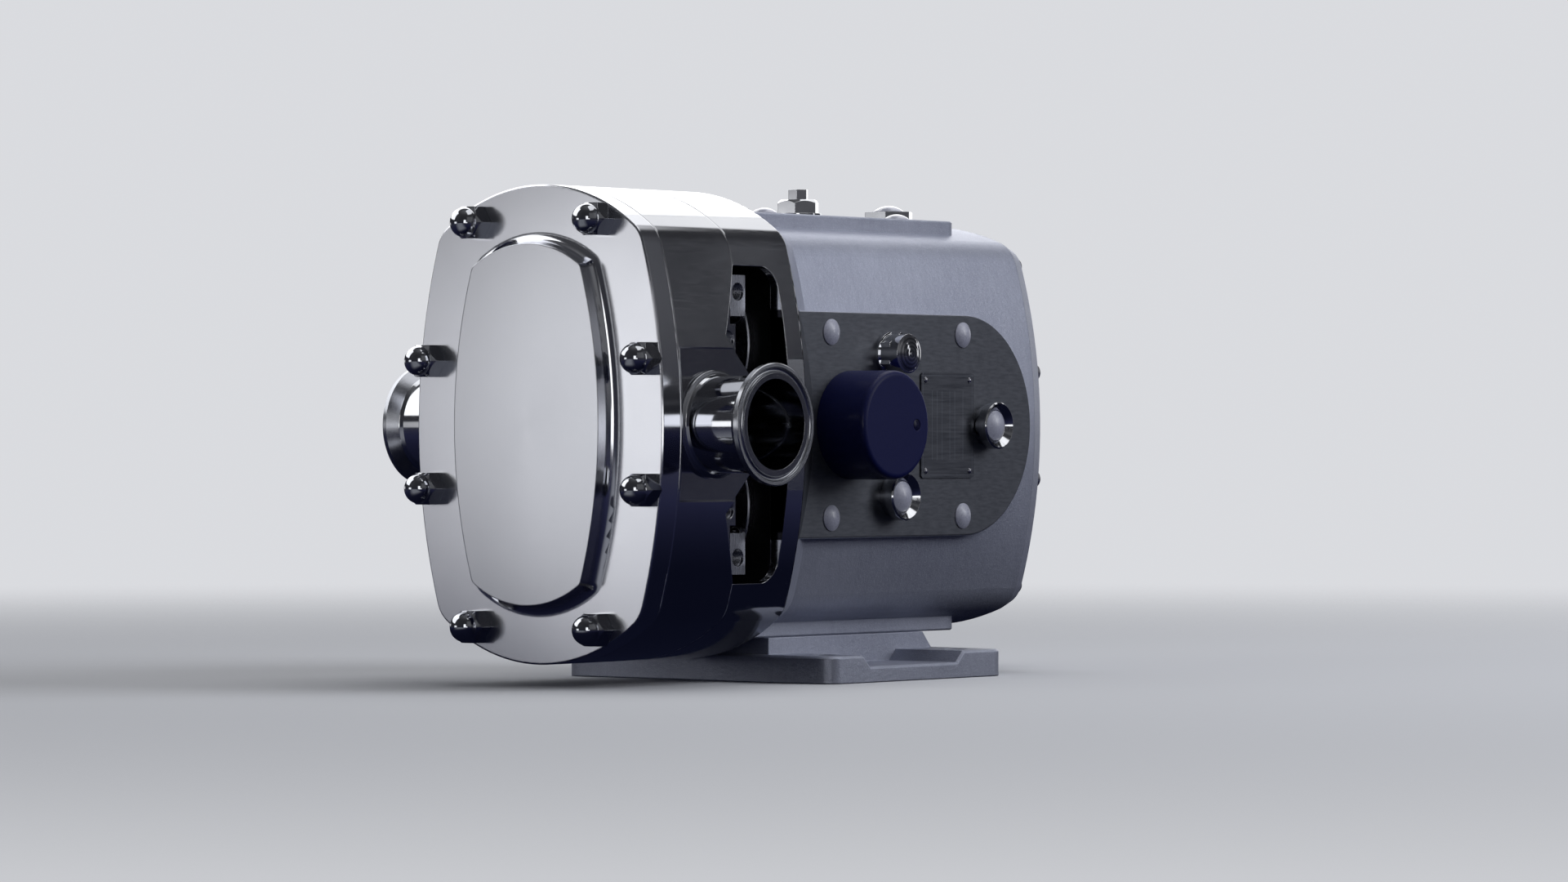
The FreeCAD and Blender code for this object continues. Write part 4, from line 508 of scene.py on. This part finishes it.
finishes = {
    "cover_steel": cover_steel(),
    "polished_steel": polished_steel(),
    "nut_steel": nut_steel(),
    "seal_carbon": seal_carbon(),
    "seal_rubber": seal_rubber(),
    "cast_housing": cast_housing(),
    "cap_plastic": cap_plastic(),
    "clear_glass": clear_glass(),
    "plate_metal": plate_metal(),
    "monitor_plastic": monitor_plastic(),
    "light_lens": light_lens(),
}
for steel in TURNED_STEELS:
    finishes[steel[0]] = turned_steel(*steel)

for entry in frame["record"]["subparts"]:
    mesh = frame["nodes"][entry["node"]].data
    mesh.materials.clear()
    mesh.materials.append(finishes[entry["material_slot"]])


def placed(mesh, name):
    """Object for a mesh that is ready, in the scene"""
    piece = bpy.data.objects.new(name, mesh)
    bpy.context.scene.collection.objects.link(piece)
    return piece


def finished(mesh, name, body, slot):
    """Puts a mesh in the scene, riding on its body with its slot's finish"""
    mesh.materials.append(finishes[slot])
    piece = placed(mesh, name)
    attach(piece, body)


def mesh_from(bm, name):
    mesh = bpy.data.meshes.new(name)
    bm.to_mesh(mesh)
    bm.free()
    return mesh


def lathe(bm, outline, base, axis, steps=48):
    """Turns (radius, height) pairs round an axis from base; adds the faces to bm"""
    turn = Vector((0.0, 0.0, 1.0)).rotation_difference(Vector(axis)).to_matrix()
    rings = []
    for radius, height in outline:
        ring = []
        for k in range(steps):
            angle = 2.0 * math.pi * k / steps
            local = Vector((radius * math.cos(angle), radius * math.sin(angle), height))
            ring.append(bm.verts.new(turn @ local + Vector(base)))
        rings.append(ring)
    for lower, upper in zip(rings, rings[1:]):
        for k in range(steps):
            n = (k + 1) % steps
            face = bm.faces.new((lower[k], lower[n], upper[n], upper[k]))
            face.smooth = True


def thread(bm, mouth, sign):
    """Winds a thread's ridge into the hole with this mouth, on the side that sign gives"""
    rows = []
    for k in range(THREAD_TURNS * THREAD_STEPS + 1):
        angle = 2.0 * math.pi * k / THREAD_STEPS
        depth = THREAD_START + THREAD_PITCH * k / THREAD_STEPS
        row = []
        for radius, share in THREAD_RIDGE:
            x = -sign * (depth + share * THREAD_PITCH)
            offset = Vector((x, radius * math.cos(angle), radius * math.sin(angle)))
            row.append(bm.verts.new(mouth + offset))
        rows.append(row)
    for lower, upper in zip(rows, rows[1:]):
        for k in (0, 1):
            bm.faces.new((lower[k], lower[k + 1], upper[k + 1], upper[k]))


def flush_threads():
    """Threads in the eight flush holes of the rotor case and the seal housings"""
    bm = bmesh.new()
    for sign in (1.0, -1.0):
        for y, rise in THREAD_PLACES:
            for side in (1.0, -1.0):
                thread(bm, Vector((sign * THREAD_MOUTH, y, PORT_HEIGHT + side * rise)), sign)
    bmesh.ops.recalc_face_normals(bm, faces=bm.faces)
    finished(mesh_from(bm, "flush_threads"), "flush_threads", "root", "machined_steel")


def sight_target():
    """Dark target behind the window of the sight glass"""
    bm = bmesh.new()
    base = (SIDE_PAD_FACE, SIGHT_Y, PORT_HEIGHT + SIGHT_RISE)
    lathe(bm, [(radius * MM, height * MM) for radius, height in TARGET_OUTLINE], base, (1.0, 0.0, 0.0))
    finished(mesh_from(bm, "sight_target"), "sight_target", "root", "seal_carbon")


flush_threads()
sight_target()


# The stage: a floor that only the camera sees, and a dome and a card in its place for the polished steel
def sheet(name, reach, level, material):
    mesh = bpy.data.meshes.new(name)
    corners = [(x * reach, y * reach, level) for x, y in ((-1.0, -1.0), (1.0, -1.0), (1.0, 1.0), (-1.0, 1.0))]
    mesh.from_pydata(corners, [], [(0, 1, 2, 3)])
    mesh.materials.append(material)
    piece = placed(mesh, name)
    return piece


def floor_finish():
    """Pale grey that fades into the background further out"""
    p = Paint("floor", FLOOR_COLOUR, 0.0, 0.9)
    p.set("Specular IOR Level", 0.0)
    length = p.add("ShaderNodeVectorMath")
    length.operation = "LENGTH"
    p.link(p.stretched((1.0, 1.0, 0.0)), length.inputs[0])
    p.link(p.span(length.outputs["Value"], *FLOOR_FADE, 1.0, 0.0, True), p.shader.inputs["Alpha"])
    return p.material


def floor():
    piece = sheet("floor", FLOOR_REACH, FLOOR_LEVEL, floor_finish())
    piece.visible_diffuse = False
    piece.visible_glossy = False


def reflected_only(piece):
    piece.visible_camera = False
    piece.visible_diffuse = False
    piece.visible_shadow = False
    piece.visible_transmission = False
    piece.visible_volume_scatter = False


def dome_finish():
    """Dark tones by elevation, with soft boxes painted on them by their direction from the pump"""
    p = Paint("reflection_dome", (0.0, 0.0, 0.0), 0.0, 1.0)
    p.set("Specular IOR Level", 0.0)
    x = p.axis("X")
    y = p.axis("Y")
    z = p.math("SUBTRACT", p.axis("Z"), PORT_HEIGHT)
    azimuth = p.product(p.math("ARCTAN2", x, y), DEGREES)
    elevation = p.product(p.math("ARCTAN2", z, p.distance(x, y)), DEGREES)
    ramp = p.add("ShaderNodeValToRGB")
    p.link(p.span(elevation, DOME_LOW, DOME_HIGH), ramp.inputs["Fac"])
    while len(ramp.color_ramp.elements) < len(DOME_BASE):
        ramp.color_ramp.elements.new(0.5)
    for element, (angle, tone) in zip(ramp.color_ramp.elements, DOME_BASE):
        element.position = (angle - DOME_LOW) / (DOME_HIGH - DOME_LOW)
        element.color = (*tone, 1.0)
    total = 0.0
    for across, upright, strength in DOME_BOXES:
        box = p.product(*p.soft_ends(azimuth, *across), *p.soft_ends(elevation, *upright))
        total = p.math("ADD", p.product(box, strength), total)
    light = p.add("ShaderNodeCombineXYZ")
    for socket in ("X", "Y", "Z"):
        p.link(total, light.inputs[socket])
    added = p.add("ShaderNodeVectorMath")
    added.operation = "ADD"
    p.link(ramp.outputs["Color"], added.inputs[0])
    p.link(light.outputs[0], added.inputs[1])
    p.glow(added.outputs[0])
    return p.material


def reflection_dome():
    """A dark dome over the pump, seen only in reflections"""
    bm = bmesh.new()
    outline = []
    for degrees in range(0, 90, 6):
        angle = math.radians(degrees)
        outline.append((DOME_RADIUS * math.cos(angle), DOME_RADIUS * math.sin(angle)))
    outline.append((0.01, DOME_RADIUS))
    lathe(bm, outline, (0.0, 0.0, 0.0), (0.0, 0.0, 1.0), DOME_STEPS)
    mesh = mesh_from(bm, "reflection_dome")
    mesh.materials.append(dome_finish())
    piece = placed(mesh, "reflection_dome")
    reflected_only(piece)


def card_finish():
    """Dark, a little lighter further out and lighter still in front"""
    p = Paint("floor_card", (0.0, 0.0, 0.0), 0.0, 1.0)
    p.set("Specular IOR Level", 0.0)
    x = p.axis("X")
    y = p.axis("Y")
    level = p.distance(x, y)
    near = p.blend(p.span(level, *NEAR_TO_MIDDLE), CARD_NEAR, CARD_MIDDLE)
    tone = p.blend(p.span(level, *MIDDLE_TO_FAR), near, CARD_FAR)
    turn = p.product(p.math("ARCTAN2", p.math("ABSOLUTE", x), y), DEGREES)
    front = p.product(p.span(turn, *FRONT_SECTOR, 0.0, 1.0, True), p.span(level, *FRONT_START, 0.0, 1.0, True))
    p.glow(p.blend(front, tone, CARD_FRONT))
    return p.material


def floor_card():
    """A card just under the floor, seen in reflections and lighting the pump from below"""
    card = sheet("floor_card", DOME_RADIUS + 0.1, CARD_LEVEL, card_finish())
    reflected_only(card)
    card.visible_diffuse = True


def lamp(name, place, target, size, power, colour):
    data = bpy.data.lights.new(name, "AREA")
    data.energy = power
    data.size = size
    data.color = colour
    piece = bpy.data.objects.new(name, data)
    piece.location = place
    piece.rotation_euler = (Vector(target) - Vector(place)).to_track_quat("-Z", "Y").to_euler()
    piece.visible_camera = False
    bpy.context.scene.collection.objects.link(piece)


def studio_world():
    """Faint light from all round; camera, mirror and glass rays see a pale background instead"""
    world = bpy.data.worlds.new("studio")
    bpy.context.scene.world = world
    world.use_nodes = True
    tree = world.node_tree
    tree.nodes.clear()
    rays = tree.nodes.new("ShaderNodeLightPath")
    seen = rays.outputs["Is Camera Ray"]
    for kind in ("Is Glossy Ray", "Is Transmission Ray"):
        either = tree.nodes.new("ShaderNodeMath")
        either.operation = "MAXIMUM"
        tree.links.new(seen, either.inputs[0])
        tree.links.new(rays.outputs[kind], either.inputs[1])
        seen = either.outputs[0]
    both = tree.nodes.new("ShaderNodeMixShader")
    tree.links.new(seen, both.inputs["Fac"])
    for socket, colour, strength in ((1, SKY_COLOUR, SKY_STRENGTH), (2, SEEN_COLOUR, SEEN_STRENGTH)):
        source = tree.nodes.new("ShaderNodeBackground")
        source.inputs["Color"].default_value = (*colour, 1.0)
        source.inputs["Strength"].default_value = strength
        tree.links.new(source.outputs[0], both.inputs[socket])
    result = tree.nodes.new("ShaderNodeOutputWorld")
    tree.links.new(both.outputs[0], result.inputs["Surface"])


def photo_camera():
    """The camera at the photograph's viewing angle"""
    data = bpy.data.cameras.new("camera")
    data.lens = CAMERA_LENS
    data.sensor_width = CAMERA_SENSOR
    data.clip_end = CAMERA_CLIP
    camera = bpy.data.objects.new("camera", data)
    camera.location = CAMERA_PLACE
    camera.rotation_euler = (math.radians(90.0), 0.0, math.radians(CAMERA_AZIMUTH))
    bpy.context.scene.collection.objects.link(camera)
    bpy.context.scene.camera = camera


floor()
reflection_dome()
floor_card()
for values in LAMPS:
    lamp(*values)
studio_world()
photo_camera()
bpy.context.scene.view_settings.view_transform = "Standard"
